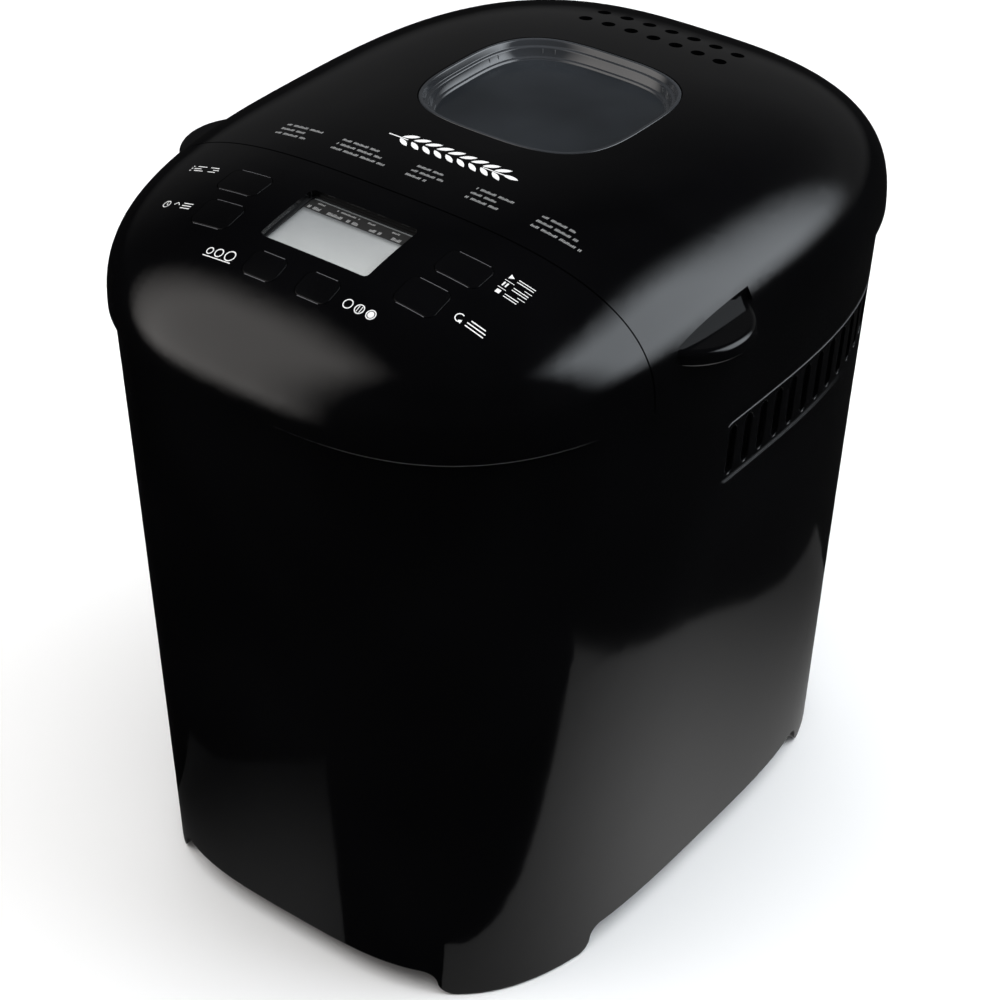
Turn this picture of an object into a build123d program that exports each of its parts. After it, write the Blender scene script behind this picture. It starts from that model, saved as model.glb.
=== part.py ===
from build123d import *
from math import cos, degrees, hypot, pi, sin
import os

# Bread machine. Millimetres, +Z up, front at -Y, origin under the middle of the machine.

# Fits
RUNNING = 0.05  # radial clearance of a shaft that turns in a bore
PRESSED = 0.02  # radial clearance of a pin or shaft fixed in its bore
CLEARANCE = 0.3  # between moulded pieces that sit inside one another
SEAM = 0.6  # gap between the lid and the fixed control cover
FINE = 0.6  # small edge breaks and small clear gaps
GROOVE = 0.8  # shadow groove between the dome's rim and the body

# Walls
WALL = 2.5
SHEET = 1.2
PLATE = 2.0

# Outer shape: a tapering body under a domed top
HALF_WIDTH = 120.0
HALF_DEPTH = 154.0
COLLAR_HEIGHT = 260.0
DOME_HEIGHT = 50.0
RIM_OVERHANG = 1.8
BODY_TAPER_X = 17.0
BODY_TAPER_Y = 15.0
BODY_FLARE = 0.06
BASE_SHIFT_Y = -4.0
BASE_EXPONENT = 3.45
COLLAR_EXPONENT = 2.85
DOME_PLAN_EXPONENT = 3.33
DOME_RISE_EXPONENT = 2.64
OUTLINE_POINTS = 48
SHELL_BOSSES = (0, 6, 12, 24, 30, 36)  # outline points at the four corners and both sides
SEAM_TURN = 0.375  # each outline starts at the rear left corner, clear of every cut
BODY_LEVELS = 7
DOME_LEVELS = 13
CROWN_ANGLE = 0.06
SKIRT_LIFT = 0.8

BASE_HALF_WIDTH = HALF_WIDTH - BODY_TAPER_X
BASE_HALF_DEPTH = HALF_DEPTH - BODY_TAPER_Y
SHELL_TOP = COLLAR_HEIGHT - GROOVE

# Arches in the skirt, between the four corner feet
ARCH_HEIGHT = 11.0
ARCH_STEP = 12.0
FRONT_FOOT_WIDTH = 30.0
SIDE_FOOT_FRONT = 60.0
SIDE_FOOT_REAR = 50.0

# Vents in the side walls
VENT_COUNT = 12
VENT_PITCH = 10.4
VENT_WIDTH = 4.8
VENT_HEIGHT = 21.5
VENT_DROP = 43.3
VENT_CENTRE_Y = 41.0
BAND_HEIGHT = 27.0
BAND_MARGIN = 4.6
BAND_RECESS = 0.7

# Underside
BASE_Z = 13.0
BASE_THICKNESS = 3.0
BASE_VENTS = 5
LEG_RADIUS = 11.0
LEG_INSET_X = 19.26  # from the corner bosses in to the legs
LEG_INSET_Y = 41.0
PAD_RADIUS = 9.0
PAD_HEIGHT = 3.0
POST_RADIUS = 7.0
LEDGE_WIDTH = 4.0
LEDGE_HEIGHT = 4.0
SCREW_RADIUS = 1.6
SCREW_HEAD_RADIUS = 3.2
SCREW_HEAD_HEIGHT = 1.8
SCREW_LENGTH = 12.0

# Deck that closes the top of the body
DECK_DROP = 3.0
DECK_THICKNESS = 3.0
DECK_TOP = COLLAR_HEIGHT - DECK_DROP
DECK_BOTTOM = DECK_TOP - DECK_THICKNESS

# Split between the lid and the control cover
CONTROL_DEPTH = 85.0
SEAM_Y = CONTROL_DEPTH - HALF_DEPTH
LID_FRONT_Y = SEAM_Y + SEAM / 2
CONTROL_REAR_Y = SEAM_Y - SEAM / 2

# Chassis and drive
CHASSIS_Z = 44.0
CHASSIS_TOP = CHASSIS_Z + PLATE
PULLEY_Z = 22.0
PULLEY_WIDTH = 12.0
DRIVE_PULLEY_RADIUS = 48.0
PULLEY_RIM = 5.0
PULLEY_HOLES = 6
PULLEY_HOLE_RING_SHARE = 0.6  # of the radius inside the rim
PULLEY_HOLE_SHARE = 0.18
MOTOR_PULLEY_RADIUS = 6.5
BELT_THICKNESS = 2.0
DRIVE_SHAFT_RADIUS = 5.0
MOTOR_SHAFT_RADIUS = 3.0
MOTOR_RADIUS = 33.0
MOTOR_HEIGHT = 62.0
MOTOR_SET_BACK = 23.0
MOTOR_FOOT = 3.0
MOTOR_SCREW_X = MOTOR_RADIUS + 5.0
HOUSING_RADIUS = 17.0
HOUSING_FLANGE = 9.0
HOUSING_FLANGE_HEIGHT = 3.0
HOUSING_PULLEY_GAP = 2.5
CHASSIS_HOLES = 6
CHASSIS_HOLE_RING = 37.4
CHASSIS_HOLE_RADIUS = 6.8
BUSH_WALL = 4.0
BUSH_HEIGHT = 8.0

# Oven chamber
OVEN_GAP = 14.0
CHAMBER_AIR_GAP = 16.5
CHAMBER_FRONT_GAP = 25.0
CHAMBER_REAR_GAP = 37.5
CHAMBER_CORNER = 24.0
CHAMBER_FLANGE = 8.0
TRIM_WIDTH = 10.0
TRIM_HEIGHT = 2.0
CHAMBER_Z = CHASSIS_TOP + OVEN_GAP
CHAMBER_FLOOR = CHAMBER_Z + SHEET
CHAMBER_HALF_X = BASE_HALF_WIDTH - WALL - CHAMBER_AIR_GAP
CHAMBER_FRONT_Y = SEAM_Y + CHAMBER_FRONT_GAP
CHAMBER_REAR_Y = BASE_HALF_DEPTH + BASE_SHIFT_Y - WALL - CHAMBER_REAR_GAP
CHAMBER_HALF_Y = (CHAMBER_REAR_Y - CHAMBER_FRONT_Y) / 2
CHAMBER_Y = (CHAMBER_REAR_Y + CHAMBER_FRONT_Y) / 2
ELEMENT_RADIUS = 3.25
ELEMENT_RISE = 10.8
ELEMENT_WALL_GAP = 7.5
ELEMENT_END_SPACING = 26.0
ELEMENT_CORNER = 26.0
ELEMENT_TAIL = 14.0
ELEMENT_CLIP_WIDTH = 7.8
TERMINAL_FLANGE = 9.5
TAIL_BEND_SHARE = 0.9  # of the gap between the element and the chamber's wall
STANDOFF_SHARE = 0.6  # of the chamber's half size, where its standoffs stand
STANDOFF_RADIUS = 5.0
SENSOR_Z = CHAMBER_FLOOR + 60.0
SENSOR_RADIUS = 3.0
SENSOR_REACH = 11.0

# Bread pan
PAN_GAP = 12.0
PAN_HEADROOM = 32.0
PAN_STAND = 18.8
PAN_WALL = 1.6
PAN_DRAFT = 4.0
PAN_CORNER = 22.0
PAN_LIP = 2.5
PAN_LIP_HEIGHT = 2.0
PAN_RING_RADIUS = 46.0
CLIP_KNEE_SHARE = 0.6  # of the pan's stand height
CLIP_TIP_SHARE = 0.8
PAN_Z = CHAMBER_FLOOR + PAN_STAND
PAN_TOP = DECK_BOTTOM - PAN_HEADROOM
PAN_HALF_X = CHAMBER_HALF_X - PAN_GAP
PAN_HALF_Y = CHAMBER_HALF_Y - PAN_GAP
PAN_SHAFT_RADIUS = 4.0
PAN_SHAFT_HEIGHT = 30.0
BAIL_RADIUS = 2.0
BAIL_DROP = 13.0
BAIL_SIDE_GAP = 2.5
BAIL_FRONT_GAP = 2.0
BAIL_CORNER = 20.0
EAR_WIDTH = 16.0
EAR_THICKNESS = 2.0
PADDLE_LENGTH = 44.0
PADDLE_HEIGHT = 30.0
PADDLE_THICKNESS = 4.0
PADDLE_SHOULDER_SHARE = 0.6  # of the paddle's height
PADDLE_HUB_RADIUS = 9.5
COUPLING_RADIUS = 14.0
COUPLING_HEIGHT = 7.5
COUPLING_LUG = 5.5
WING_LENGTH = 26.0
WING_WIDTH = 6.0
WING_HEIGHT = 4.8

# Lid
LINER_RISE = 2.0
LINER_THICKNESS = 2.5
LINER_Z = COLLAR_HEIGHT + LINER_RISE
LINER_TOP = LINER_Z + LINER_THICKNESS
SEAL_WIDTH = 6.0
WINDOW_HALF_X = 45.0
WINDOW_HALF_Y = 43.0
WINDOW_EXPONENT = 3.2
WINDOW_DEPTH = 8.0
WINDOW_STEP_DEPTH = 4.0
WINDOW_FLOOR = 2.5
WINDOW_WALL = 1.6
CHIMNEY_WALL = 2.2
LID_BOSS_SIDE_GAP = 21.0
LID_BOSS_SPREAD = 45.0
LID_BOSS_REAR_X = 70.0
LID_BOSS_REAR_GAP = 26.0
GLASS_THICKNESS = 3.0
STEAM_COLUMNS = 7
STEAM_PITCH = 10.7
STEAM_RADIUS = 2.8
STEAM_BACK_GAPS = (47.0, 60.0)
STEAM_BOW = 0.0012
TAB_PROUD = 9.0
TAB_HALF_CHORD = 22.5
TAB_TOP_RISE = 19.0
TAB_THICKNESS = 6.5
TAB_SET_BACK = 34.5
TAB_ROOT = 12.0
TAB_SCOOP = 5.5
TAB_EDGE = 2.2
BOSS_RADIUS = 4.0

# Hinge
HINGE_Y = HALF_DEPTH - 4.5
HINGE_Z = COLLAR_HEIGHT + 2.5
KNUCKLE_RADIUS = 4.3
PIN_RADIUS = 2.0
HINGE_X = 34.0
KNUCKLE_WIDTH = 12.0
LUG_WIDTH = 6.0
HINGE_SIDE_GAP = 0.4
HINGE_FOOT = 3.0
RELIEF_HALF_WIDTH = 58.0
RELIEF_DEPTH = 2.9
RELIEF_FRONT = 11.0

# Control panel
PANEL_SET_BACK = 28.8
PANEL_Y = SEAM_Y - PANEL_SET_BACK
DISPLAY_WIDTH = 48.8
DISPLAY_HEIGHT = 29.6
DISPLAY_DEPTH = WALL + 1.1
DISPLAY_CORNER = 2.0
BEZEL_MARGIN_X = 3.6
BEZEL_MARGIN_Y = 3.2
BEZEL_DEPTH = WALL + 4.5
BEZEL_STEP = 0.8
MODULE_MARGIN = 1.6
LENS_THICKNESS = 1.0
BOARD_THICKNESS = 1.6
BOARD_RISE = 26.5
BOARD_HALF_X = 56.0
BOARD_FRONT = 28.0
BOARD_REAR = 16.0
DECK_POST_OUTER = (5.5, 22.0)  # in from the board's end, in front of the display's centre
DECK_POST_INNER = (38.0, 11.0)  # from the middle, behind the display's centre
COVER_BOSS_SIDE_GAP = 35.0
COVER_BOSS_FRONT_GAP = 22.0
DECK_SLOT_WIDTH = 24.0
DECK_SLOT_DEPTH = 5.0
DECK_SLOT_GAP = 4.0
BOARD_Z = DECK_TOP + BOARD_RISE
BOARD_TOP = BOARD_Z + BOARD_THICKNESS
BUTTON_CORNER = 3.0
BUTTON_FLANGE = 1.5
BUTTON_TRAVEL = 1.2
SWITCH_HEIGHT = 4.4
SWITCH_SIZE = 6.0
STEM_SIZE = 4.0
PLUNGER_RADIUS = 1.6
PLUNGER_HEIGHT = 0.5
STEM_Z = BOARD_TOP + SWITCH_HEIGHT + PLUNGER_HEIGHT + BUTTON_TRAVEL + CLEARANCE

# name, centre x, centre y from the display's centre, width, height
BUTTONS = (
    ("menu_button", -50.0, 6.8, 19.5, 12.5),
    ("start_button", 50.0, 6.8, 19.5, 12.5),
    ("time_button", -46.5, -11.7, 18.0, 13.0),
    ("cycle_button", 46.5, -11.7, 18.0, 13.0),
    ("weight_button", -12.0, -25.7, 15.5, 10.5),
    ("colour_button", 12.0, -25.7, 15.5, 10.5),
)

# Electronics and supply
SHIELD_GAP = 5.0
SHIELD_TOP_GAP = 4.0
POWER_BOARD_STANDOFF = 7.0
POWER_BOARD_WIDTH = 96.0
POWER_BOARD_HEIGHT = 64.0
POWER_BOARD_DROP = 20.0
GLAND_X = -58.0
GLAND_Z = 34.0
GLAND_RADIUS = 7.0
GLAND_BORE = 3.8
BOARD_SCREW_INSET = 6.0
RELAY_WIDTH = 20.0
RELAY_HEIGHT = 16.0
SOCKET_WIDTH = 28.0
SOCKET_HEIGHT = 12.0
BLOCK_DEPTH = 16.0
BLOCK_OFFSET = 14.0
CAN_RADIUS = 5.0
CAN_LENGTH = 18.0
CAN_COUNT = 3
CORE_WIDTH = 32.0
CORE_HEIGHT = 38.0
CORE_DEPTH = 12.0
WINDING_WIDTH = 22.0
WINDING_HEIGHT = 24.0
FRAME_HEIGHT = 30.0
FRAME_OPENING = 26.0
CAPACITOR_WIDTH = 20.0
CAPACITOR_LENGTH = 30.0
CAPACITOR_HEIGHT = 32.0
CAPACITOR_SIDE_GAP = 18.0
CAPACITOR_SET_BACK = 12.0
ROTOR_FLOOR_GAP = 10.0
ROTOR_TOP_GAP = 8.0

FAR = 2 * HALF_DEPTH
SEAT_LIFT = 1.3  # drive coupling above the chamber floor


def superellipse(half_x, half_y, exponent, centre_y=0.0):
    """Points round a superellipse, at equal angles."""
    points = []
    for index in range(OUTLINE_POINTS):
        angle = 2 * pi * (index / OUTLINE_POINTS + SEAM_TURN)
        reach_x = abs(cos(angle) / half_x) ** exponent
        reach_y = abs(sin(angle) / half_y) ** exponent
        radius = (reach_x + reach_y) ** (-1 / exponent)
        points.append((radius * cos(angle), centre_y + radius * sin(angle)))
    return points


def body_outline(height, inset):
    """The body's plan at a height, blended from the base to the collar with a slight flare."""
    rise = height / COLLAR_HEIGHT
    share = rise - BODY_FLARE * (rise - rise**4)
    low = superellipse(BASE_HALF_WIDTH - inset, BASE_HALF_DEPTH - inset, BASE_EXPONENT, BASE_SHIFT_Y)
    top_half_x = HALF_WIDTH - RIM_OVERHANG - inset
    top_half_y = HALF_DEPTH - RIM_OVERHANG - inset
    high = superellipse(top_half_x, top_half_y, COLLAR_EXPONENT)
    return [
        ((1 - share) * a[0] + share * b[0], (1 - share) * a[1] + share * b[1])
        for a, b in zip(low, high)
    ]


def closed_spline(points):
    """Smooth closed curve with evenly spaced knots, so that stacked outlines loft cleanly."""
    knots = [index / len(points) for index in range(len(points) + 1)]
    return Edge.make_spline([Vector(*point) for point in points], periodic=True, parameters=knots)


def body_block(low, high, inset):
    """Solid of the body's taper between two heights."""
    with BuildPart() as block:
        for level in range(BODY_LEVELS):
            height = low + (high - low) * level / (BODY_LEVELS - 1)
            with BuildSketch(Plane.XY.offset(height)):
                with BuildLine():
                    add(closed_spline(body_outline(height, inset)))
                make_face()
        loft()
    return block.part


def dome_block(inset):
    """Solid of the dome, drawn in by an inset all round and from above."""
    with BuildPart() as block:
        for level in range(DOME_LEVELS):
            share = level / (DOME_LEVELS - 1)
            turn = (1 - share) * pi / 2 + share * CROWN_ANGLE
            spread = sin(turn) ** (2 / DOME_PLAN_EXPONENT)
            rise = cos(turn) ** (2 / DOME_RISE_EXPONENT)
            points = superellipse(
                (HALF_WIDTH - inset) * spread, (HALF_DEPTH - inset) * spread, COLLAR_EXPONENT
            )
            height = COLLAR_HEIGHT + (DOME_HEIGHT - inset) * rise
            with BuildSketch(Plane.XY.offset(height)):
                with BuildLine():
                    add(closed_spline(points))
                make_face()
        loft()
    return block.part


def dome_rise(x, y, inset=0.0):
    """Height of the dome's surface over a point of its plan."""
    reach_x = abs(x / (HALF_WIDTH - inset)) ** COLLAR_EXPONENT
    reach_y = abs(y / (HALF_DEPTH - inset)) ** COLLAR_EXPONENT
    spread = (reach_x + reach_y) ** (1 / COLLAR_EXPONENT)
    rise = (1 - spread**DOME_PLAN_EXPONENT) ** (1 / DOME_RISE_EXPONENT)
    return COLLAR_HEIGHT + (DOME_HEIGHT - inset) * rise


def dome_slice(dome, low_y, high_y):
    """The dome between two planes across it."""
    with BuildPart() as piece:
        add(dome)
        with BuildSketch(Plane.XY.offset(COLLAR_HEIGHT - WALL)):
            with Locations((0, (low_y + high_y) / 2)):
                Rectangle(2 * FAR, high_y - low_y)
        extrude(amount=2 * DOME_HEIGHT, mode=Mode.INTERSECT)
    return piece.part


def prism(points, low, high):
    """Upright solid over a closed smooth outline."""
    with BuildPart() as solid:
        with BuildSketch(Plane.XY.offset(low)):
            with BuildLine():
                add(closed_spline(points))
            make_face()
        extrude(amount=high - low)
    return solid.part


def rounded_ring(low, high, outer, inner, centre):
    """Upright ring of a rounded rectangle; outer and inner are (half x, half y, corner)."""
    with BuildPart() as ring:
        with BuildSketch(Plane.XY.offset(low)):
            with Locations(centre):
                RectangleRounded(2 * outer[0], 2 * outer[1], outer[2])
                RectangleRounded(2 * inner[0], 2 * inner[1], inner[2], mode=Mode.SUBTRACT)
        extrude(amount=high - low)
    return ring.part


def grown(half_x, half_y, corner, growth):
    """A rounded rectangle's half sizes and corner after growing it all round."""
    return (half_x + growth, half_y + growth, corner + growth)


def window_outline(inset):
    """The window's bowed square, drawn in by an inset."""
    return superellipse(WINDOW_HALF_X - inset, WINDOW_HALF_Y - inset, WINDOW_EXPONENT, CHAMBER_Y)


def screws(places, low, head_up=False):
    """Round-headed screws standing at the given places, all alike."""
    head_z = low + SCREW_LENGTH if head_up else low - SCREW_HEAD_HEIGHT
    with BuildPart() as group:
        with BuildSketch(Plane.XY.offset(low)):
            with Locations(*places):
                Circle(SCREW_RADIUS)
        extrude(amount=SCREW_LENGTH)
        with BuildSketch(Plane.XY.offset(head_z)):
            with Locations(*places):
                Circle(SCREW_HEAD_RADIUS)
        extrude(amount=SCREW_HEAD_HEIGHT)
    return group.part


def save(part, name):
    part.label = name
    export_step(part, f"parts/{name}.step")


os.makedirs("parts", exist_ok=True)

outer_dome = dome_block(0)
inner_dome = dome_block(WALL)
boss_dome = dome_block(WALL / 2)
chamber_inner = (CHAMBER_HALF_X, CHAMBER_HALF_Y, CHAMBER_CORNER)
chamber_centre = (0, CHAMBER_Y)

# ---------------------------------------------------------------- body shell


def arch_cut(half_foot, plane, centre):
    """Closed outline of one arch: a flat top with an S curve down to each foot."""
    half_top = half_foot - ARCH_STEP
    mid = half_foot - ARCH_STEP / 2
    top = SKIRT_LIFT + ARCH_HEIGHT
    half_rise = SKIRT_LIFT + ARCH_HEIGHT / 2
    with BuildSketch(plane) as outline:
        with BuildLine():
            Polyline(
                (-half_foot, SKIRT_LIFT),
                (-half_foot, -WALL),
                (half_foot, -WALL),
                (half_foot, SKIRT_LIFT),
            )
            TangentArc((half_foot, SKIRT_LIFT), (mid, half_rise), tangent=(-1, 0))
            TangentArc((half_top, top), (mid, half_rise), tangent=(1, 0))
            Line((half_top, top), (-half_top, top))
            TangentArc((-half_top, top), (-mid, half_rise), tangent=(-1, 0))
            TangentArc((-half_foot, SKIRT_LIFT), (-mid, half_rise), tangent=(1, 0))
        make_face()
    return outline.sketch.moved(Location(centre))


front_half_foot = BASE_HALF_WIDTH - FRONT_FOOT_WIDTH
side_front_y = BASE_SHIFT_Y - BASE_HALF_DEPTH + SIDE_FOOT_FRONT
side_rear_y = BASE_SHIFT_Y + BASE_HALF_DEPTH - SIDE_FOOT_REAR
side_half_foot = (side_rear_y - side_front_y) / 2
front_arch = arch_cut(front_half_foot, Plane.XZ, (0, 0, 0))
side_arch = arch_cut(side_half_foot, Plane.YZ, (0, (side_front_y + side_rear_y) / 2, 0))
vent_z = COLLAR_HEIGHT - VENT_DROP
band_length = (VENT_COUNT - 1) * VENT_PITCH + VENT_WIDTH + 2 * BAND_MARGIN
band_floor = body_block(SKIRT_LIFT, SHELL_TOP, BAND_RECESS)

with BuildPart() as vent_band:
    with BuildSketch(Plane.YZ):
        with Locations((VENT_CENTRE_Y, vent_z)):
            RectangleRounded(band_length, BAND_HEIGHT, BAND_MARGIN)
    extrude(amount=FAR, both=True)
    add(band_floor, mode=Mode.SUBTRACT)

with BuildPart() as ledge:
    add(body_block(DECK_BOTTOM - LEDGE_HEIGHT, DECK_BOTTOM, WALL / 2))
    add(body_block(DECK_BOTTOM - LEDGE_HEIGHT, DECK_BOTTOM, WALL + LEDGE_WIDTH), mode=Mode.SUBTRACT)

with BuildPart() as base_ledge:
    base_top = BASE_Z + BASE_THICKNESS
    add(body_block(base_top, base_top + LEDGE_HEIGHT, WALL / 2))
    add(body_block(base_top, base_top + LEDGE_HEIGHT, WALL + LEDGE_WIDTH), mode=Mode.SUBTRACT)

boss_outline = body_outline(BASE_Z + BASE_THICKNESS, WALL + BOSS_RADIUS)
shell_boss_places = [boss_outline[index] for index in SHELL_BOSSES]
relief_z = COLLAR_HEIGHT - GROOVE - RELIEF_DEPTH
relief_front_y = HALF_DEPTH - RELIEF_FRONT

with BuildPart() as hinge_relief:
    with BuildSketch(Plane.XY.offset(relief_z)):
        with Locations((0, relief_front_y + RELIEF_FRONT)):
            Rectangle(2 * RELIEF_HALF_WIDTH, 2 * RELIEF_FRONT)
    extrude(amount=2 * RELIEF_DEPTH)

with BuildPart() as body_shell:
    add(body_block(SKIRT_LIFT, SHELL_TOP, 0))
    add(body_block(SKIRT_LIFT, SHELL_TOP, WALL), mode=Mode.SUBTRACT)
    add(vent_band.part, mode=Mode.SUBTRACT)
    add(ledge.part)
    add(base_ledge.part)
    with BuildSketch(Plane.XY.offset(BASE_Z + BASE_THICKNESS)):
        with Locations(*shell_boss_places):
            Circle(BOSS_RADIUS)
    extrude(amount=SCREW_LENGTH)
    with BuildSketch(Plane.XY.offset(BASE_Z + BASE_THICKNESS)):
        with Locations(*shell_boss_places):
            Circle(SCREW_RADIUS + PRESSED)
    extrude(amount=SCREW_LENGTH - BASE_THICKNESS, mode=Mode.SUBTRACT)
    add(hinge_relief.part, mode=Mode.SUBTRACT)
    extrude(to_extrude=front_arch, amount=FAR, both=True, mode=Mode.SUBTRACT)
    extrude(to_extrude=side_arch, amount=FAR, both=True, mode=Mode.SUBTRACT)
    with BuildSketch(Plane.YZ):
        with Locations((VENT_CENTRE_Y, vent_z)):
            with GridLocations(VENT_PITCH, 0, VENT_COUNT, 1):
                SlotOverall(VENT_HEIGHT, VENT_WIDTH, rotation=90)
    extrude(amount=FAR, both=True, mode=Mode.SUBTRACT)
    with BuildSketch(Plane.XZ):
        with Locations((GLAND_X, GLAND_Z)):
            Circle(GLAND_RADIUS + CLEARANCE)
    extrude(amount=-FAR, mode=Mode.SUBTRACT)
save(body_shell.part, "body_shell")

# ---------------------------------------------------------------- underside

leg_x = max(x for x, y in shell_boss_places if y > LEG_RADIUS) - LEG_INSET_X
leg_y = BASE_HALF_DEPTH - LEG_INSET_Y
leg_places = [
    (side * leg_x, BASE_SHIFT_Y + end * leg_y) for side in (-1, 1) for end in (-1, 1)
]
motor_y = SEAM_Y - MOTOR_SET_BACK
rib_places = [(side * leg_x, BASE_SHIFT_Y + end * leg_y / 2) for side in (-1, 1) for end in (-1, 1)]

with BuildPart() as base_plate:
    add(body_block(BASE_Z, BASE_Z + BASE_THICKNESS, WALL + CLEARANCE))
    with BuildSketch(Plane.XY.offset(PAD_HEIGHT)):
        with Locations(*leg_places):
            Circle(LEG_RADIUS)
    extrude(amount=BASE_Z - PAD_HEIGHT)
    with BuildSketch(Plane.XY.offset(BASE_Z)):
        with Locations(*leg_places, *rib_places):
            Circle(POST_RADIUS)
    extrude(amount=CHASSIS_Z - BASE_Z)
    with BuildSketch(Plane.XY.offset(CHASSIS_Z - SCREW_LENGTH - PLATE)):
        with Locations(*leg_places):
            Circle(SCREW_RADIUS + PRESSED)
    extrude(amount=SCREW_LENGTH + PLATE, mode=Mode.SUBTRACT)
    with BuildSketch(Plane.XY.offset(BASE_Z)):
        with Locations(*shell_boss_places):
            Circle(SCREW_RADIUS + PRESSED)
        with Locations((0, motor_y)):
            with GridLocations(VENT_PITCH, 0, BASE_VENTS, 1):
                SlotOverall(2 * VENT_HEIGHT, VENT_WIDTH, rotation=90)
    extrude(amount=BASE_THICKNESS, mode=Mode.SUBTRACT)
save(base_plate.part, "base_plate")

with BuildPart() as foot_pads:
    with BuildSketch(Plane.XY):
        with Locations(*leg_places):
            Circle(PAD_RADIUS)
    extrude(amount=PAD_HEIGHT)
    chamfer(foot_pads.edges().group_by(Axis.Z)[0], FINE)
save(foot_pads.part, "foot_pads")

# ---------------------------------------------------------------- chassis

motor_screw_places = [(side * MOTOR_SCREW_X, motor_y) for side in (-1, 1)]
chassis_half_x = BASE_HALF_WIDTH - WALL - POST_RADIUS - WALL * 4
chassis_front_y = BASE_SHIFT_Y - leg_y - POST_RADIUS - 2 * WALL
chassis_rear_y = BASE_SHIFT_Y + leg_y + POST_RADIUS
with BuildPart() as chassis_plate:
    with BuildSketch(Plane.XY.offset(CHASSIS_Z)):
        with Locations((0, (chassis_front_y + chassis_rear_y) / 2)):
            RectangleRounded(2 * chassis_half_x, chassis_rear_y - chassis_front_y, PAN_CORNER)
        with Locations(chamber_centre):
            Circle(HOUSING_RADIUS + CLEARANCE, mode=Mode.SUBTRACT)
        with Locations((0, motor_y)):
            Circle(MOTOR_SHAFT_RADIUS * 3, mode=Mode.SUBTRACT)
        with Locations(*leg_places, *motor_screw_places):
            Circle(SCREW_RADIUS + PRESSED, mode=Mode.SUBTRACT)
        with Locations(chamber_centre):
            with PolarLocations(CHASSIS_HOLE_RING, CHASSIS_HOLES, start_angle=30):
                Circle(CHASSIS_HOLE_RADIUS, mode=Mode.SUBTRACT)
    extrude(amount=PLATE)
save(chassis_plate.part, "chassis_plate")

# ---------------------------------------------------------------- oven chamber

with BuildPart() as oven_chamber:
    with BuildSketch(Plane.XY.offset(CHAMBER_Z)):
        with Locations(chamber_centre):
            RectangleRounded(*[2 * v for v in grown(*chamber_inner, SHEET)[:2]], CHAMBER_CORNER + SHEET)
    extrude(amount=DECK_BOTTOM - CHAMBER_Z)
    with BuildSketch(Plane.XY.offset(CHAMBER_FLOOR)):
        with Locations(chamber_centre):
            RectangleRounded(2 * CHAMBER_HALF_X, 2 * CHAMBER_HALF_Y, CHAMBER_CORNER)
    extrude(amount=DECK_BOTTOM - CHAMBER_FLOOR, mode=Mode.SUBTRACT)
    add(
        rounded_ring(
            DECK_BOTTOM - SHEET,
            DECK_BOTTOM,
            grown(*chamber_inner, CHAMBER_FLANGE),
            chamber_inner,
            chamber_centre,
        )
    )
    with BuildSketch(Plane.XY.offset(CHAMBER_Z)):
        with Locations(chamber_centre):
            Circle(2 * DRIVE_SHAFT_RADIUS)
    extrude(amount=SHEET, mode=Mode.SUBTRACT)
    with BuildSketch(Plane.XZ.offset(-CHAMBER_FRONT_Y - SHEET / 2)):
        with Locations((0, CHAMBER_FLOOR + ELEMENT_RISE)):
            with GridLocations(ELEMENT_END_SPACING, 0, 2, 1):
                Circle(2 * ELEMENT_RADIUS)
        with Locations((0, SENSOR_Z)):
            Circle(SENSOR_RADIUS + CLEARANCE)
    extrude(amount=2 * SHEET, both=True, mode=Mode.SUBTRACT)
save(oven_chamber.part, "oven_chamber")

standoff_places = [
    (side * CHAMBER_HALF_X * STANDOFF_SHARE, CHAMBER_Y + end * CHAMBER_HALF_Y * STANDOFF_SHARE)
    for side in (-1, 1)
    for end in (-1, 1)
]

with BuildPart() as chamber_standoffs:
    with BuildSketch(Plane.XY.offset(CHASSIS_TOP)):
        with Locations(*standoff_places):
            Circle(STANDOFF_RADIUS)
    extrude(amount=OVEN_GAP)
save(chamber_standoffs.part, "chamber_standoffs")

element_z = CHAMBER_FLOOR + ELEMENT_RISE
element_x = CHAMBER_HALF_X - ELEMENT_WALL_GAP
element_half_y = CHAMBER_HALF_Y - ELEMENT_WALL_GAP
element_end_x = ELEMENT_END_SPACING / 2
element_front_y = CHAMBER_Y - element_half_y
element_tail_y = CHAMBER_FRONT_Y - ELEMENT_TAIL
tail_bend = ELEMENT_WALL_GAP * TAIL_BEND_SHARE

with BuildPart() as heating_element:
    with BuildLine():
        FilletPolyline(
            (element_end_x, element_tail_y, element_z),
            (element_end_x, element_front_y, element_z),
            (element_x, element_front_y, element_z),
            (element_x, CHAMBER_Y + element_half_y, element_z),
            (-element_x, CHAMBER_Y + element_half_y, element_z),
            (-element_x, element_front_y, element_z),
            (-element_end_x, element_front_y, element_z),
            (-element_end_x, element_tail_y, element_z),
            radius=[tail_bend, ELEMENT_CORNER, ELEMENT_CORNER, ELEMENT_CORNER, ELEMENT_CORNER, tail_bend],
        )
    with BuildSketch(Plane((element_end_x, element_tail_y, element_z), x_dir=(1, 0, 0), z_dir=(0, 1, 0))):
        Circle(ELEMENT_RADIUS)
    sweep()
save(heating_element.part, "heating_element")

with BuildPart() as element_terminals:
    chamber_front_outer = CHAMBER_FRONT_Y - SHEET
    with BuildSketch(Plane.XZ.offset(-chamber_front_outer)):
        with Locations((0, element_z)):
            with GridLocations(ELEMENT_END_SPACING, 0, 2, 1):
                Circle(TERMINAL_FLANGE)
                Circle(ELEMENT_RADIUS + RUNNING, mode=Mode.SUBTRACT)
    extrude(amount=SHIELD_GAP - CLEARANCE)
save(element_terminals.part, "element_terminals")

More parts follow.
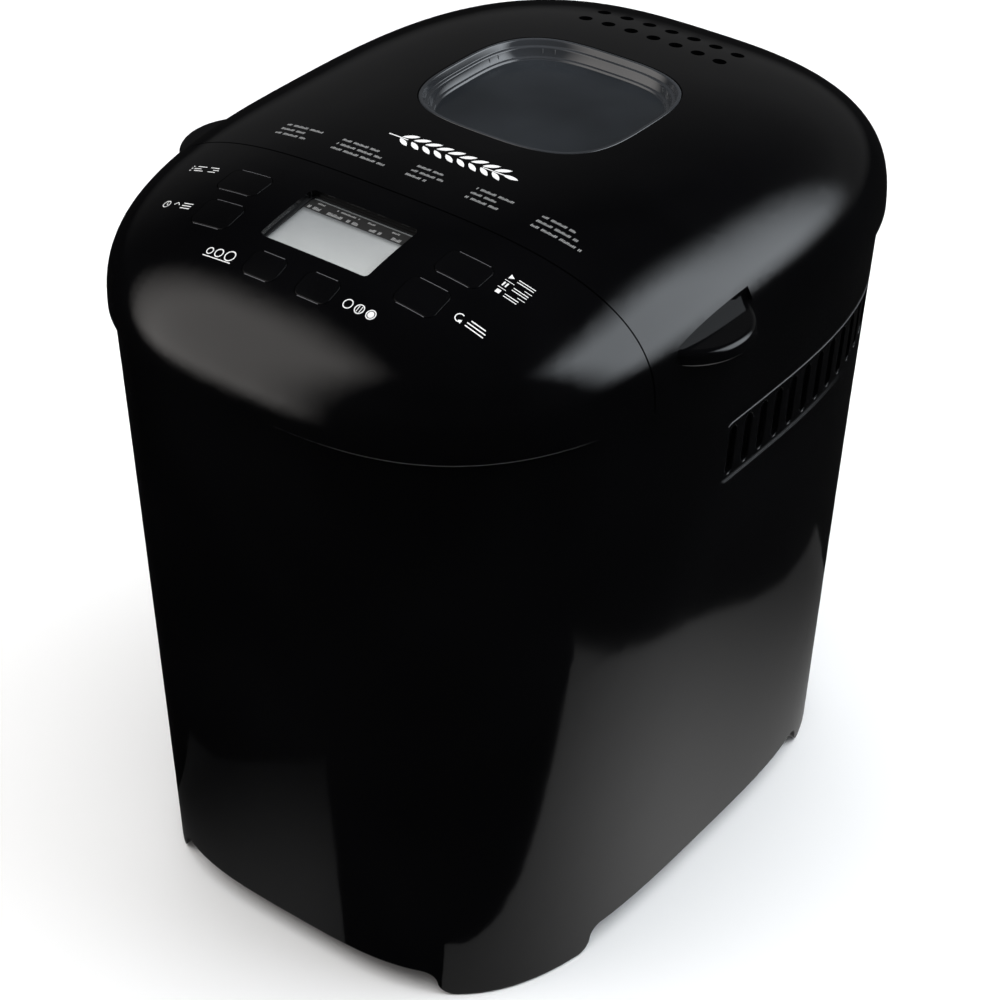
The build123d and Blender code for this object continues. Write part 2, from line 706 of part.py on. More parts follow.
with BuildPart() as element_brackets:
    with BuildSketch(Plane.XY.offset(CHAMBER_FLOOR)):
        with Locations(chamber_centre):
            with GridLocations(2 * element_x, element_half_y, 2, 2):
                RectangleRounded(ELEMENT_CLIP_WIDTH, 2 * ELEMENT_RADIUS, ELEMENT_RADIUS / 2)
    extrude(amount=ELEMENT_RISE)
    for side in (-1, 1):
        with BuildSketch(Plane.XZ):
            with Locations((side * element_x, element_z)):
                Circle(ELEMENT_RADIUS + RUNNING)
        extrude(amount=FAR, both=True, mode=Mode.SUBTRACT)
save(element_brackets.part, "element_brackets")

with BuildPart() as temperature_sensor:
    with BuildSketch(Plane.XZ.offset(-chamber_front_outer)):
        with Locations((0, SENSOR_Z)):
            RectangleRounded(6 * SENSOR_RADIUS, 3 * SENSOR_RADIUS, SENSOR_RADIUS / 2)
    extrude(amount=SHIELD_GAP - CLEARANCE)
    with BuildSketch(Plane.XZ.offset(-chamber_front_outer)):
        with Locations((0, SENSOR_Z)):
            Circle(SENSOR_RADIUS)
    extrude(amount=-SENSOR_REACH)
    fillet(temperature_sensor.faces().sort_by(Axis.Y)[-1].edges(), SENSOR_RADIUS / 2)
save(temperature_sensor.part, "temperature_sensor")

with BuildPart() as pan_clips:
    clip_gap = PAN_RING_RADIUS + FINE
    for side in (-1, 1):
        with BuildSketch(Plane.XZ.offset(-CHAMBER_Y)):
            with BuildLine():
                clip = Polyline(
                    (side * (clip_gap + 4 * PLATE), CHAMBER_FLOOR + SHEET / 2),
                    (side * (clip_gap + SHEET / 2), CHAMBER_FLOOR + SHEET / 2),
                    (side * (clip_gap + SHEET / 2), CHAMBER_FLOOR + PAN_STAND * CLIP_KNEE_SHARE),
                    (side * (clip_gap + 2 * PLATE), CHAMBER_FLOOR + PAN_STAND * CLIP_TIP_SHARE),
                )
            trace(clip, SHEET)
        extrude(amount=EAR_WIDTH / 2, both=True)
save(pan_clips.part, "pan_clips")

with BuildPart() as thermal_fuse:
    fuse_x = -(CHAMBER_HALF_X + SHEET)
    with BuildSketch(Plane.XZ.offset(-CHAMBER_Y)):
        with Locations((fuse_x - SENSOR_RADIUS, SENSOR_Z)):
            Circle(SENSOR_RADIUS)
        with Locations((fuse_x - SHEET / 2, SENSOR_Z)):
            Rectangle(SHEET, 4 * SENSOR_RADIUS)
    extrude(amount=EAR_WIDTH / 2, both=True)
save(thermal_fuse.part, "thermal_fuse")

# ---------------------------------------------------------------- deck

deck_post_places = [
    (side * x, PANEL_Y + y)
    for side in (-1, 1)
    for x, y in ((BOARD_HALF_X - DECK_POST_OUTER[0], -DECK_POST_OUTER[1]), DECK_POST_INNER)
]
cover_boss_x = HALF_WIDTH - COVER_BOSS_SIDE_GAP
cover_boss_places = [(side * cover_boss_x, SEAM_Y - COVER_BOSS_FRONT_GAP) for side in (-1, 1)]

with BuildPart() as top_deck:
    add(body_block(DECK_BOTTOM, DECK_TOP, WALL + CLEARANCE))
    with BuildSketch(Plane.XY.offset(DECK_BOTTOM)):
        with Locations(chamber_centre):
            RectangleRounded(2 * CHAMBER_HALF_X, 2 * CHAMBER_HALF_Y, CHAMBER_CORNER)
        with Locations((0, CONTROL_REAR_Y - WALL - DECK_SLOT_GAP)):
            Rectangle(DECK_SLOT_WIDTH, DECK_SLOT_DEPTH)
        with Locations(*cover_boss_places):
            Circle(SCREW_RADIUS + PRESSED)
    extrude(amount=DECK_THICKNESS, mode=Mode.SUBTRACT)
    add(hinge_relief.part, mode=Mode.SUBTRACT)
    with BuildSketch(Plane.XY.offset(DECK_TOP)):
        with Locations(*deck_post_places):
            Circle(BOSS_RADIUS)
    extrude(amount=BOARD_RISE)
    with BuildSketch(Plane.XY.offset(BOARD_Z - SCREW_LENGTH)):
        with Locations(*deck_post_places):
            Circle(SCREW_RADIUS + PRESSED)
    extrude(amount=SCREW_LENGTH, mode=Mode.SUBTRACT)
save(top_deck.part, "top_deck")

trim = rounded_ring(
    DECK_TOP, DECK_TOP + TRIM_HEIGHT, grown(*chamber_inner, TRIM_WIDTH), chamber_inner, chamber_centre
)
save(trim, "oven_trim_ring")

# ---------------------------------------------------------------- control cover and buttons

panel_z = dome_rise(0, PANEL_Y)
panel_slope = (
    dome_rise(0, PANEL_Y + DISPLAY_HEIGHT / 2) - dome_rise(0, PANEL_Y - DISPLAY_HEIGHT / 2)
) / DISPLAY_HEIGHT
panel_plane = Plane((0, PANEL_Y, panel_z), x_dir=(1, 0, 0), z_dir=(0, -panel_slope, 1))


def panel_block(width, height, corner, low, high):
    """Block square to the sloping display, between two heights above its face."""
    with BuildPart() as block:
        with BuildSketch(panel_plane.offset(low)):
            RectangleRounded(width, height, corner)
        extrude(amount=high - low)
    return block.part


def button_prism(x, y, width, height, growth):
    """Upright block over a button's plan."""
    with BuildPart() as block:
        with BuildSketch(Plane.XY.offset(DECK_TOP)):
            with Locations((x, PANEL_Y + y)):
                RectangleRounded(width + 2 * growth, height + 2 * growth, BUTTON_CORNER + growth)
        extrude(amount=2 * DOME_HEIGHT)
    return block.part


with BuildPart() as cover_bosses:
    with BuildSketch(Plane.XY.offset(COLLAR_HEIGHT)):
        with Locations(*cover_boss_places):
            Circle(BOSS_RADIUS)
    extrude(amount=DOME_HEIGHT)
    add(boss_dome, mode=Mode.INTERSECT)
    with BuildSketch(Plane.XY.offset(DECK_TOP)):
        with Locations(*cover_boss_places):
            Circle(BOSS_RADIUS)
    extrude(amount=DECK_DROP)

display_size = (DISPLAY_WIDTH, DISPLAY_HEIGHT, DISPLAY_CORNER)
with BuildPart() as control_cover:
    add(dome_slice(outer_dome, -FAR, CONTROL_REAR_Y))
    add(dome_slice(inner_dome, -FAR, CONTROL_REAR_Y - WALL), mode=Mode.SUBTRACT)
    with BuildSketch(Plane.XY.offset(DECK_TOP)):
        with Locations((0, CONTROL_REAR_Y - WALL / 2)):
            Rectangle(2 * (HALF_WIDTH - 2 * TAB_ROOT), WALL)
    extrude(amount=DECK_DROP + WALL)
    add(cover_bosses.part)
    with BuildSketch(Plane.XY.offset(DECK_TOP)):
        with Locations(*cover_boss_places):
            Circle(SCREW_RADIUS + PRESSED)
    extrude(amount=SCREW_LENGTH, mode=Mode.SUBTRACT)
    add(panel_block(*display_size, -BEZEL_DEPTH, BEZEL_DEPTH), mode=Mode.SUBTRACT)
    for _, x, y, width, height in BUTTONS:
        add(button_prism(x, y, width, height, 0), mode=Mode.SUBTRACT)
save(control_cover.part, "control_cover")

flange_top = dome_block(WALL + CLEARANCE)
flange_bottom = dome_block(WALL + CLEARANCE + BUTTON_FLANGE)

for name, x, y, width, height in BUTTONS:
    with BuildPart() as cap:
        add(button_prism(x, y, width, height, -CLEARANCE))
        add(outer_dome, mode=Mode.INTERSECT)
    with BuildPart() as flange:
        add(button_prism(x, y, width, height, BUTTON_FLANGE))
        add(flange_top, mode=Mode.INTERSECT)
    with BuildPart() as stem:
        with BuildSketch(Plane.XY.offset(STEM_Z)):
            with Locations((x, PANEL_Y + y)):
                RectangleRounded(STEM_SIZE, STEM_SIZE, FINE)
        extrude(amount=DOME_HEIGHT)
        add(inner_dome, mode=Mode.INTERSECT)
    with BuildPart() as button:
        add(cap.part)
        add(flange.part)
        add(flange_bottom, mode=Mode.SUBTRACT)
        add(stem.part)
    save(button.part, name)

# ---------------------------------------------------------------- display and control board

bezel_width = DISPLAY_WIDTH + 2 * BEZEL_MARGIN_X
bezel_height = DISPLAY_HEIGHT + 2 * BEZEL_MARGIN_Y
module_width = bezel_width - 2 * MODULE_MARGIN
module_height = bezel_height - 2 * MODULE_MARGIN
module_size = (module_width, module_height, DISPLAY_CORNER)
lens_low = -DISPLAY_DEPTH - LENS_THICKNESS

with BuildPart() as display_bezel:
    add(panel_block(bezel_width, bezel_height, DISPLAY_CORNER, -BEZEL_DEPTH, BEZEL_DEPTH))
    add(dome_block(WALL + RUNNING), mode=Mode.INTERSECT)
    opening = (DISPLAY_WIDTH - 2 * BEZEL_STEP, DISPLAY_HEIGHT - 2 * BEZEL_STEP, DISPLAY_CORNER)
    add(panel_block(*opening, -BEZEL_DEPTH, BEZEL_DEPTH), mode=Mode.SUBTRACT)
    add(panel_block(*module_size, -2 * BEZEL_DEPTH, -DISPLAY_DEPTH), mode=Mode.SUBTRACT)
save(display_bezel.part, "display_bezel")

lens_size = (module_width - 2 * PRESSED, module_height - 2 * PRESSED, DISPLAY_CORNER)
save(panel_block(*lens_size, lens_low, -DISPLAY_DEPTH - PRESSED), "display_lens")
save(panel_block(*lens_size, -BEZEL_DEPTH, lens_low - PRESSED), "lcd_module")

board_y = PANEL_Y + (BOARD_REAR - BOARD_FRONT) / 2
with BuildPart() as control_board:
    with BuildSketch(Plane.XY.offset(BOARD_Z)):
        with Locations((0, board_y)):
            RectangleRounded(2 * BOARD_HALF_X, BOARD_FRONT + BOARD_REAR, BUTTON_CORNER)
        with Locations(*deck_post_places):
            Circle(SCREW_RADIUS + PRESSED, mode=Mode.SUBTRACT)
    extrude(amount=BOARD_THICKNESS)
    with BuildSketch(Plane.XY.offset(BOARD_TOP)):
        with Locations((0, PANEL_Y)):
            Rectangle(DISPLAY_WIDTH / 2, DISPLAY_HEIGHT / 2)
    extrude(amount=SWITCH_HEIGHT)
save(control_board.part, "control_board")

with BuildPart() as tact_switches:
    switch_places = [(x, PANEL_Y + y) for _, x, y, _, _ in BUTTONS]
    with BuildSketch(Plane.XY.offset(BOARD_TOP)):
        with Locations(*switch_places):
            RectangleRounded(SWITCH_SIZE, SWITCH_SIZE, FINE)
    extrude(amount=SWITCH_HEIGHT)
    with BuildSketch(Plane.XY.offset(BOARD_TOP + SWITCH_HEIGHT)):
        with Locations(*switch_places):
            Circle(PLUNGER_RADIUS)
    extrude(amount=PLUNGER_HEIGHT)
save(tact_switches.part, "tact_switches")

# ---------------------------------------------------------------- heat shield, power board, supply

shield_y = chamber_front_outer - SHIELD_GAP
shield_front_y = shield_y - SHEET
board_back_y = shield_front_y - POWER_BOARD_STANDOFF
power_board_z = DECK_BOTTOM - POWER_BOARD_DROP - POWER_BOARD_HEIGHT / 2
board_screw_offsets = (
    POWER_BOARD_WIDTH - 2 * BOARD_SCREW_INSET,
    POWER_BOARD_HEIGHT - 2 * BOARD_SCREW_INSET,
)

with BuildPart() as heat_shield:
    shield_top = DECK_BOTTOM - SHIELD_TOP_GAP
    with BuildSketch(Plane.XZ.offset(-shield_y)):
        with Locations((0, (CHASSIS_TOP + shield_top) / 2)):
            Rectangle(2 * CHAMBER_HALF_X - PAN_CORNER, shield_top - CHASSIS_TOP)
    extrude(amount=SHEET)
    with BuildSketch(Plane.XY.offset(CHASSIS_TOP)):
        with Locations((0, shield_front_y - PAN_GAP / 2)):
            Rectangle(2 * CHAMBER_HALF_X - PAN_CORNER, PAN_GAP)
        with Locations((0, motor_y)):
            Circle(MOTOR_RADIUS + CLEARANCE, mode=Mode.SUBTRACT)
    extrude(amount=SHEET)
    with BuildSketch(Plane.XZ.offset(-shield_y)):
        with Locations((0, element_z)):
            with GridLocations(ELEMENT_END_SPACING, 0, 2, 1):
                Circle(2 * ELEMENT_RADIUS)
    extrude(amount=SHEET, mode=Mode.SUBTRACT)
    with BuildSketch(Plane.XZ.offset(-shield_front_y)):
        with Locations((0, power_board_z)):
            with GridLocations(*board_screw_offsets, 2, 2):
                Circle(STANDOFF_RADIUS / 2)
    extrude(amount=POWER_BOARD_STANDOFF)
save(heat_shield.part, "heat_shield")

with BuildPart() as power_board:
    with BuildSketch(Plane.XZ.offset(-board_back_y)):
        with Locations((0, power_board_z)):
            Rectangle(POWER_BOARD_WIDTH, POWER_BOARD_HEIGHT)
    extrude(amount=BOARD_THICKNESS)
    board_face_y = board_back_y - BOARD_THICKNESS
    with BuildSketch(Plane.XZ.offset(-board_face_y)):
        with Locations((POWER_BOARD_WIDTH / 4, power_board_z + BLOCK_OFFSET)):
            Rectangle(RELAY_WIDTH, RELAY_HEIGHT)
        with Locations((POWER_BOARD_WIDTH / 4, power_board_z - BLOCK_OFFSET)):
            Rectangle(SOCKET_WIDTH, SOCKET_HEIGHT)
    extrude(amount=BLOCK_DEPTH)
    with BuildSketch(Plane.XZ.offset(-board_face_y)):
        with Locations((0, power_board_z)):
            with GridLocations(0, CAN_LENGTH, 1, CAN_COUNT):
                Circle(CAN_RADIUS)
    extrude(amount=CAN_LENGTH)
save(power_board.part, "power_board")

with BuildPart() as transformer:
    transformer_place = (-POWER_BOARD_WIDTH / 4, power_board_z)
    with BuildSketch(Plane.XZ.offset(-board_face_y)):
        with Locations(transformer_place):
            Rectangle(CORE_WIDTH, CORE_HEIGHT)
    extrude(amount=CORE_DEPTH)
    with BuildSketch(Plane.XZ.offset(-board_face_y)):
        with Locations(transformer_place):
            RectangleRounded(WINDING_WIDTH, WINDING_HEIGHT, BUTTON_CORNER)
    extrude(amount=2 * CORE_DEPTH)
    with BuildSketch(Plane.XZ.offset(-board_face_y + CORE_DEPTH)):
        with Locations(transformer_place):
            Rectangle(CORE_WIDTH, FRAME_HEIGHT)
            Rectangle(FRAME_OPENING, FRAME_OPENING, mode=Mode.SUBTRACT)
    extrude(amount=CORE_DEPTH)
save(transformer.part, "transformer")

gland_flange_radius = GLAND_RADIUS + PLATE
gland_wall_y = max(
    y
    for x, y in body_outline(GLAND_Z + gland_flange_radius, 0)
    if x > GLAND_X + gland_flange_radius - 2 * WALL
)
with BuildPart() as cord_gland:
    with BuildSketch(Plane.XZ.offset(-gland_wall_y + 2 * GLAND_RADIUS)):
        with Locations((GLAND_X, GLAND_Z)):
            Circle(GLAND_RADIUS)
    extrude(amount=-3 * GLAND_RADIUS)
    with BuildSketch(Plane.XZ.offset(-gland_wall_y - SHEET)):
        with Locations((GLAND_X, GLAND_Z)):
            Circle(gland_flange_radius)
    extrude(amount=-SHEET * 2)
    with BuildSketch(Plane.XZ):
        with Locations((GLAND_X, GLAND_Z)):
            Circle(GLAND_BORE)
    extrude(amount=-FAR, mode=Mode.SUBTRACT)
save(cord_gland.part, "cord_gland")

# ---------------------------------------------------------------- motor and drive

drive_axis = chamber_centre
motor_axis = (0, motor_y)


def belt_outline(gap):
    """Prism over the belt's loop, a gap outside both pulleys."""
    with BuildPart() as loop:
        with BuildSketch(Plane.XY.offset(PULLEY_Z + FINE)):
            with Locations(drive_axis):
                Circle(DRIVE_PULLEY_RADIUS + gap)
            with Locations(motor_axis):
                Circle(MOTOR_PULLEY_RADIUS + gap)
            make_hull()
        extrude(amount=PULLEY_WIDTH - 2 * FINE)
    return loop.part


with BuildPart() as drive_belt:
    add(belt_outline(CLEARANCE + BELT_THICKNESS))
    add(belt_outline(CLEARANCE), mode=Mode.SUBTRACT)
save(drive_belt.part, "drive_belt")


def turned(axis, steps, bore=0.0):
    """Round piece about an upright axis, from (low, high, radius) steps, with a through bore."""
    with BuildPart() as piece:
        for low, high, radius in steps:
            with BuildSketch(Plane.XY.offset(low)):
                with Locations(axis):
                    Circle(radius)
            extrude(amount=high - low)
        if bore:
            with BuildSketch(Plane.XY.offset(steps[0][0])):
                with Locations(axis):
                    Circle(bore)
            extrude(amount=FAR, mode=Mode.SUBTRACT)
    return piece


shaft_bottom = PULLEY_Z - PLATE
coupling_z = CHAMBER_FLOOR + SEAT_LIFT
coupling_top = coupling_z + COUPLING_HEIGHT
housing_bottom = PULLEY_Z + PULLEY_WIDTH + HOUSING_PULLEY_GAP
bush_bore = DRIVE_SHAFT_RADIUS + BUSH_WALL

housing = turned(
    drive_axis,
    [
        (housing_bottom, CHAMBER_Z, HOUSING_RADIUS),
        (CHASSIS_TOP, CHASSIS_TOP + HOUSING_FLANGE_HEIGHT, HOUSING_RADIUS + HOUSING_FLANGE),
    ],
    bush_bore + PRESSED,
)
save(housing.part, "drive_housing")

with BuildPart() as drive_bushes:
    for low in (housing_bottom, CHAMBER_Z - BUSH_HEIGHT):
        with BuildSketch(Plane.XY.offset(low)):
            with Locations(drive_axis):
                Circle(bush_bore)
                Circle(DRIVE_SHAFT_RADIUS + RUNNING, mode=Mode.SUBTRACT)
        extrude(amount=BUSH_HEIGHT)
save(drive_bushes.part, "drive_bushes")

save(
    turned(drive_axis, [(shaft_bottom, coupling_top, DRIVE_SHAFT_RADIUS)]).part,
    "drive_shaft",
)

with BuildPart() as drive_coupling:
    with BuildSketch(Plane.XY.offset(coupling_z)):
        with Locations(drive_axis):
            Circle(COUPLING_RADIUS)
    extrude(amount=coupling_top - coupling_z)
    with BuildSketch(Plane.XY.offset(coupling_top)):
        with Locations(drive_axis):
            with GridLocations(2 * COUPLING_RADIUS - COUPLING_LUG, 0, 2, 1):
                Rectangle(COUPLING_LUG, 2 * COUPLING_LUG)
        with Locations(drive_axis):
            Circle(COUPLING_RADIUS, mode=Mode.INTERSECT)
    extrude(amount=COUPLING_LUG)
    with BuildSketch(Plane.XY.offset(coupling_z)):
        with Locations(drive_axis):
            Circle(DRIVE_SHAFT_RADIUS + PRESSED)
    extrude(amount=coupling_top - coupling_z, mode=Mode.SUBTRACT)
save(drive_coupling.part, "drive_coupling")

with BuildPart() as drive_pulley:
    rim_inner = DRIVE_PULLEY_RADIUS - PULLEY_RIM
    with BuildSketch(Plane.XY.offset(PULLEY_Z)):
        with Locations(drive_axis):
            Circle(DRIVE_PULLEY_RADIUS)
            Circle(rim_inner, mode=Mode.SUBTRACT)
    extrude(amount=PULLEY_WIDTH)
    with BuildSketch(Plane.XY.offset(PULLEY_Z)):
        with Locations(drive_axis):
            Circle(2 * DRIVE_SHAFT_RADIUS)
    extrude(amount=PULLEY_WIDTH + PLATE)
    with BuildSketch(Plane.XY.offset(PULLEY_Z + PULLEY_WIDTH / 2 - PLATE)):
        with Locations(drive_axis):
            Circle(rim_inner + PLATE)
        with Locations(drive_axis):
            with PolarLocations(rim_inner * PULLEY_HOLE_RING_SHARE, PULLEY_HOLES):
                Circle(rim_inner * PULLEY_HOLE_SHARE, mode=Mode.SUBTRACT)
    extrude(amount=2 * PLATE)
    with BuildSketch(Plane.XY.offset(PULLEY_Z)):
        with Locations(drive_axis):
            Circle(DRIVE_SHAFT_RADIUS + PRESSED)
    extrude(amount=2 * PULLEY_WIDTH, mode=Mode.SUBTRACT)
save(drive_pulley.part, "drive_pulley")

motor_top = CHASSIS_TOP + MOTOR_HEIGHT
cavity_low = CHASSIS_TOP + ROTOR_FLOOR_GAP
cavity_high = motor_top - ROTOR_TOP_GAP
rotor_radius = MOTOR_RADIUS / 2

with BuildPart() as motor_body:
    with BuildSketch(Plane.XY.offset(CHASSIS_TOP)):
        with Locations(motor_axis):
            Circle(MOTOR_RADIUS)
    extrude(amount=MOTOR_HEIGHT)
    with BuildSketch(Plane.XY.offset(CHASSIS_TOP)):
        with Locations(motor_axis):
            RectangleRounded(2 * (MOTOR_SCREW_X + 2 * BOSS_RADIUS), MOTOR_RADIUS, BOSS_RADIUS)
        with Locations(motor_axis):
            with GridLocations(2 * MOTOR_SCREW_X, 0, 2, 1):
                Circle(SCREW_RADIUS + PRESSED, mode=Mode.SUBTRACT)
    extrude(amount=MOTOR_FOOT)
    with BuildSketch(Plane.XY.offset(cavity_low)):
        with Locations(motor_axis):
            Circle(rotor_radius + FINE)
    extrude(amount=cavity_high - cavity_low, mode=Mode.SUBTRACT)
    with BuildSketch(Plane.XY.offset(CHASSIS_TOP)):
        with Locations(motor_axis):
            Circle(MOTOR_SHAFT_RADIUS + RUNNING)
    extrude(amount=MOTOR_HEIGHT, mode=Mode.SUBTRACT)
save(motor_body.part, "motor_body")

with BuildPart() as case_screws:
    add(screws(shell_boss_places, BASE_Z))
    add(screws(leg_places, CHASSIS_TOP - SCREW_LENGTH, head_up=True))
    add(screws(motor_screw_places, CHASSIS_TOP + MOTOR_FOOT - SCREW_LENGTH, head_up=True))
    add(screws(cover_boss_places, DECK_BOTTOM))
    add(screws(deck_post_places, BOARD_TOP - SCREW_LENGTH, head_up=True))
save(case_screws.part, "case_screws")

save(
    turned(
        motor_axis,
        [
            (shaft_bottom, motor_top + PLATE, MOTOR_SHAFT_RADIUS),
            (cavity_low + PLATE, cavity_high - PLATE, rotor_radius),
        ],
    ).part,
    "motor_rotor",
)
pulley_steps = [(PULLEY_Z, PULLEY_Z + PULLEY_WIDTH, MOTOR_PULLEY_RADIUS)]
save(turned(motor_axis, pulley_steps, MOTOR_SHAFT_RADIUS + PRESSED).part, "motor_pulley")

with BuildPart() as motor_capacitor:
    with BuildSketch(Plane.XY.offset(CHASSIS_TOP)):
        with Locations((chassis_half_x - CAPACITOR_SIDE_GAP, motor_y + CAPACITOR_SET_BACK)):
            RectangleRounded(CAPACITOR_WIDTH, CAPACITOR_LENGTH, BUTTON_CORNER)
    extrude(amount=CAPACITOR_HEIGHT)
save(motor_capacitor.part, "motor_capacitor")

# ---------------------------------------------------------------- bread pan


def pan_block(low, high, inset):
    """Tapering solid of the pan, drawn in by an inset."""
    with BuildPart() as block:
        for height in (low, high):
            draft = PAN_DRAFT * (PAN_TOP - height) / (PAN_TOP - PAN_Z)
            with BuildSketch(Plane.XY.offset(height)):
                with Locations(chamber_centre):
                    RectangleRounded(
                        2 * (PAN_HALF_X - draft - inset),
                        2 * (PAN_HALF_Y - draft - inset),
                        PAN_CORNER - inset,
                    )
        loft(ruled=True)
    return block.part


pan_floor = PAN_Z + PAN_WALL
pan_bush_radius = PAN_SHAFT_RADIUS + BUSH_WALL
pan_inner_top = (PAN_HALF_X - PAN_WALL, PAN_HALF_Y - PAN_WALL, PAN_CORNER - PAN_WALL)

with BuildPart() as bread_pan:
    add(pan_block(PAN_Z, PAN_TOP, 0))
    add(
        rounded_ring(
            PAN_TOP - PAN_LIP_HEIGHT,
            PAN_TOP,
            grown(PAN_HALF_X, PAN_HALF_Y, PAN_CORNER, PAN_LIP),
            pan_inner_top,
            chamber_centre,
        )
    )
    add(pan_block(pan_floor, PAN_TOP, PAN_WALL), mode=Mode.SUBTRACT)
    with BuildSketch(Plane.XY.offset(PAN_Z)):
        with Locations(chamber_centre):
            Circle(pan_bush_radius + PRESSED)
    extrude(amount=PAN_WALL, mode=Mode.SUBTRACT)
save(bread_pan.part, "bread_pan")

with BuildPart() as pan_base_ring:
    with BuildSketch(Plane.XY.offset(CHAMBER_FLOOR + CLEARANCE)):
        with Locations(chamber_centre):
            Circle(PAN_RING_RADIUS)
            Circle(PAN_RING_RADIUS - PLATE, mode=Mode.SUBTRACT)
    extrude(amount=PAN_STAND - CLEARANCE)
save(pan_base_ring.part, "pan_base_ring")

wing_z = coupling_top + CLEARANCE
bush_bottom = wing_z + WING_HEIGHT + CLEARANCE
with BuildPart() as pan_bush:
    for low, high, radius in (
        (bush_bottom, pan_floor, pan_bush_radius),
        (pan_floor, pan_floor + PLATE, pan_bush_radius + BUSH_WALL),
    ):
        with BuildSketch(Plane.XY.offset(low)):
            with Locations(chamber_centre):
                Circle(radius)
        extrude(amount=high - low)
    with BuildSketch(Plane.XY.offset(bush_bottom)):
        with Locations(chamber_centre):
            Circle(PAN_SHAFT_RADIUS + RUNNING)
    extrude(amount=pan_floor + PLATE - bush_bottom, mode=Mode.SUBTRACT)
save(pan_bush.part, "pan_bush")

shaft_top = pan_floor + PLATE + PAN_SHAFT_HEIGHT
save(
    turned(chamber_centre, [(wing_z, shaft_top, PAN_SHAFT_RADIUS)]).part,
    "pan_shaft",
)

with BuildPart() as pan_coupling:
    with BuildSketch(Plane.XY.offset(wing_z)):
        with Locations(chamber_centre):
            SlotOverall(WING_LENGTH, WING_WIDTH, rotation=90)
            Circle(PAN_SHAFT_RADIUS + PLATE)
            Circle(PAN_SHAFT_RADIUS + PRESSED, mode=Mode.SUBTRACT)
    extrude(amount=WING_HEIGHT)
save(pan_coupling.part, "pan_coupling")

paddle_z = pan_floor + PLATE + FINE
with BuildPart() as kneading_paddle:
    with BuildSketch(Plane.XY.offset(paddle_z)):
        with Locations(chamber_centre):
            Circle(PADDLE_HUB_RADIUS)
    extrude(amount=PADDLE_HEIGHT)
    with BuildSketch(Plane.XZ.offset(-CHAMBER_Y)):
        with BuildLine():
            Polyline(
                (0, paddle_z),
                (PADDLE_LENGTH, paddle_z),
                (PADDLE_LENGTH - PAN_DRAFT, paddle_z + PADDLE_HEIGHT * PADDLE_SHOULDER_SHARE),
                (PADDLE_HUB_RADIUS, paddle_z + PADDLE_HEIGHT),
                (0, paddle_z + PADDLE_HEIGHT),
                close=True,
            )
        make_face()
    extrude(amount=PADDLE_THICKNESS / 2, both=True)
    with BuildSketch(Plane.XY.offset(paddle_z)):
        with Locations(chamber_centre):
            Circle(PAN_SHAFT_RADIUS + RUNNING)
    extrude(amount=PADDLE_HEIGHT, mode=Mode.SUBTRACT)
save(kneading_paddle.part, "kneading_paddle")

bail_z = PAN_TOP - BAIL_DROP
ear_x = PAN_HALF_X + CLEARANCE
with BuildPart() as bail_ears:
    for side in (-1, 1):
        with BuildSketch(Plane.YZ.offset(side * (ear_x + EAR_THICKNESS / 2))):
            with Locations((CHAMBER_Y, bail_z)):
                RectangleRounded(EAR_WIDTH, EAR_WIDTH, BUTTON_CORNER)
                Circle(BAIL_RADIUS + RUNNING, mode=Mode.SUBTRACT)
        extrude(amount=EAR_THICKNESS / 2, both=True)
save(bail_ears.part, "bail_ears")

bail_x = CHAMBER_HALF_X - BAIL_SIDE_GAP - BAIL_RADIUS
bail_front_y = CHAMBER_FRONT_Y + BAIL_FRONT_GAP + BAIL_RADIUS
bail_end_x = ear_x - FINE / 2
with BuildPart() as bail_handle:
    with BuildLine():
        FilletPolyline(
            (bail_end_x, CHAMBER_Y, bail_z),
            (bail_x, CHAMBER_Y, bail_z),
            (bail_x, bail_front_y, bail_z),
            (-bail_x, bail_front_y, bail_z),
            (-bail_x, CHAMBER_Y, bail_z),
            (-bail_end_x, CHAMBER_Y, bail_z),
            radius=[2 * BAIL_RADIUS, BAIL_CORNER, BAIL_CORNER, 2 * BAIL_RADIUS],
        )
    with BuildSketch(Plane((bail_end_x, CHAMBER_Y, bail_z), x_dir=(0, 1, 0), z_dir=(1, 0, 0))):
        Circle(BAIL_RADIUS)
    sweep()
save(bail_handle.part, "bail_handle")

# ---------------------------------------------------------------- lid

window_floor_z = COLLAR_HEIGHT + DOME_HEIGHT - WINDOW_DEPTH
window_base_z = window_floor_z - WINDOW_FLOOR
lid_boss_places = [
    (side * x, y)
    for side in (-1, 1)
    for x, y in (
        (HALF_WIDTH - LID_BOSS_SIDE_GAP, CHAMBER_Y - LID_BOSS_SPREAD),
        (HALF_WIDTH - LID_BOSS_SIDE_GAP, CHAMBER_Y + LID_BOSS_SPREAD),
        (LID_BOSS_REAR_X, HALF_DEPTH - LID_BOSS_REAR_GAP),
    )
]
tab_y = LID_FRONT_Y + TAB_SET_BACK
tab_top = COLLAR_HEIGHT + TAB_TOP_RISE
tab_root_x = HALF_WIDTH - TAB_ROOT

with BuildPart() as tabs:
    for side in (-1, 1):
        with BuildSketch(Plane.XY.offset(tab_top - TAB_THICKNESS)):
            with BuildLine():
                low_end = (side * (HALF_WIDTH - TAB_SCOOP), tab_y - TAB_HALF_CHORD)
                high_end = (side * (HALF_WIDTH - TAB_SCOOP), tab_y + TAB_HALF_CHORD)
                ThreePointArc(low_end, (side * (HALF_WIDTH + TAB_PROUD), tab_y), high_end)
                Polyline(
                    high_end,
                    (side * tab_root_x, tab_y + TAB_HALF_CHORD),
                    (side * tab_root_x, tab_y - TAB_HALF_CHORD),
                    low_end,
                )
            make_face()
        extrude(amount=TAB_THICKNESS)
    rim_arcs = tabs.edges().filter_by(GeomType.CIRCLE)
    fillet(rim_arcs, TAB_EDGE)

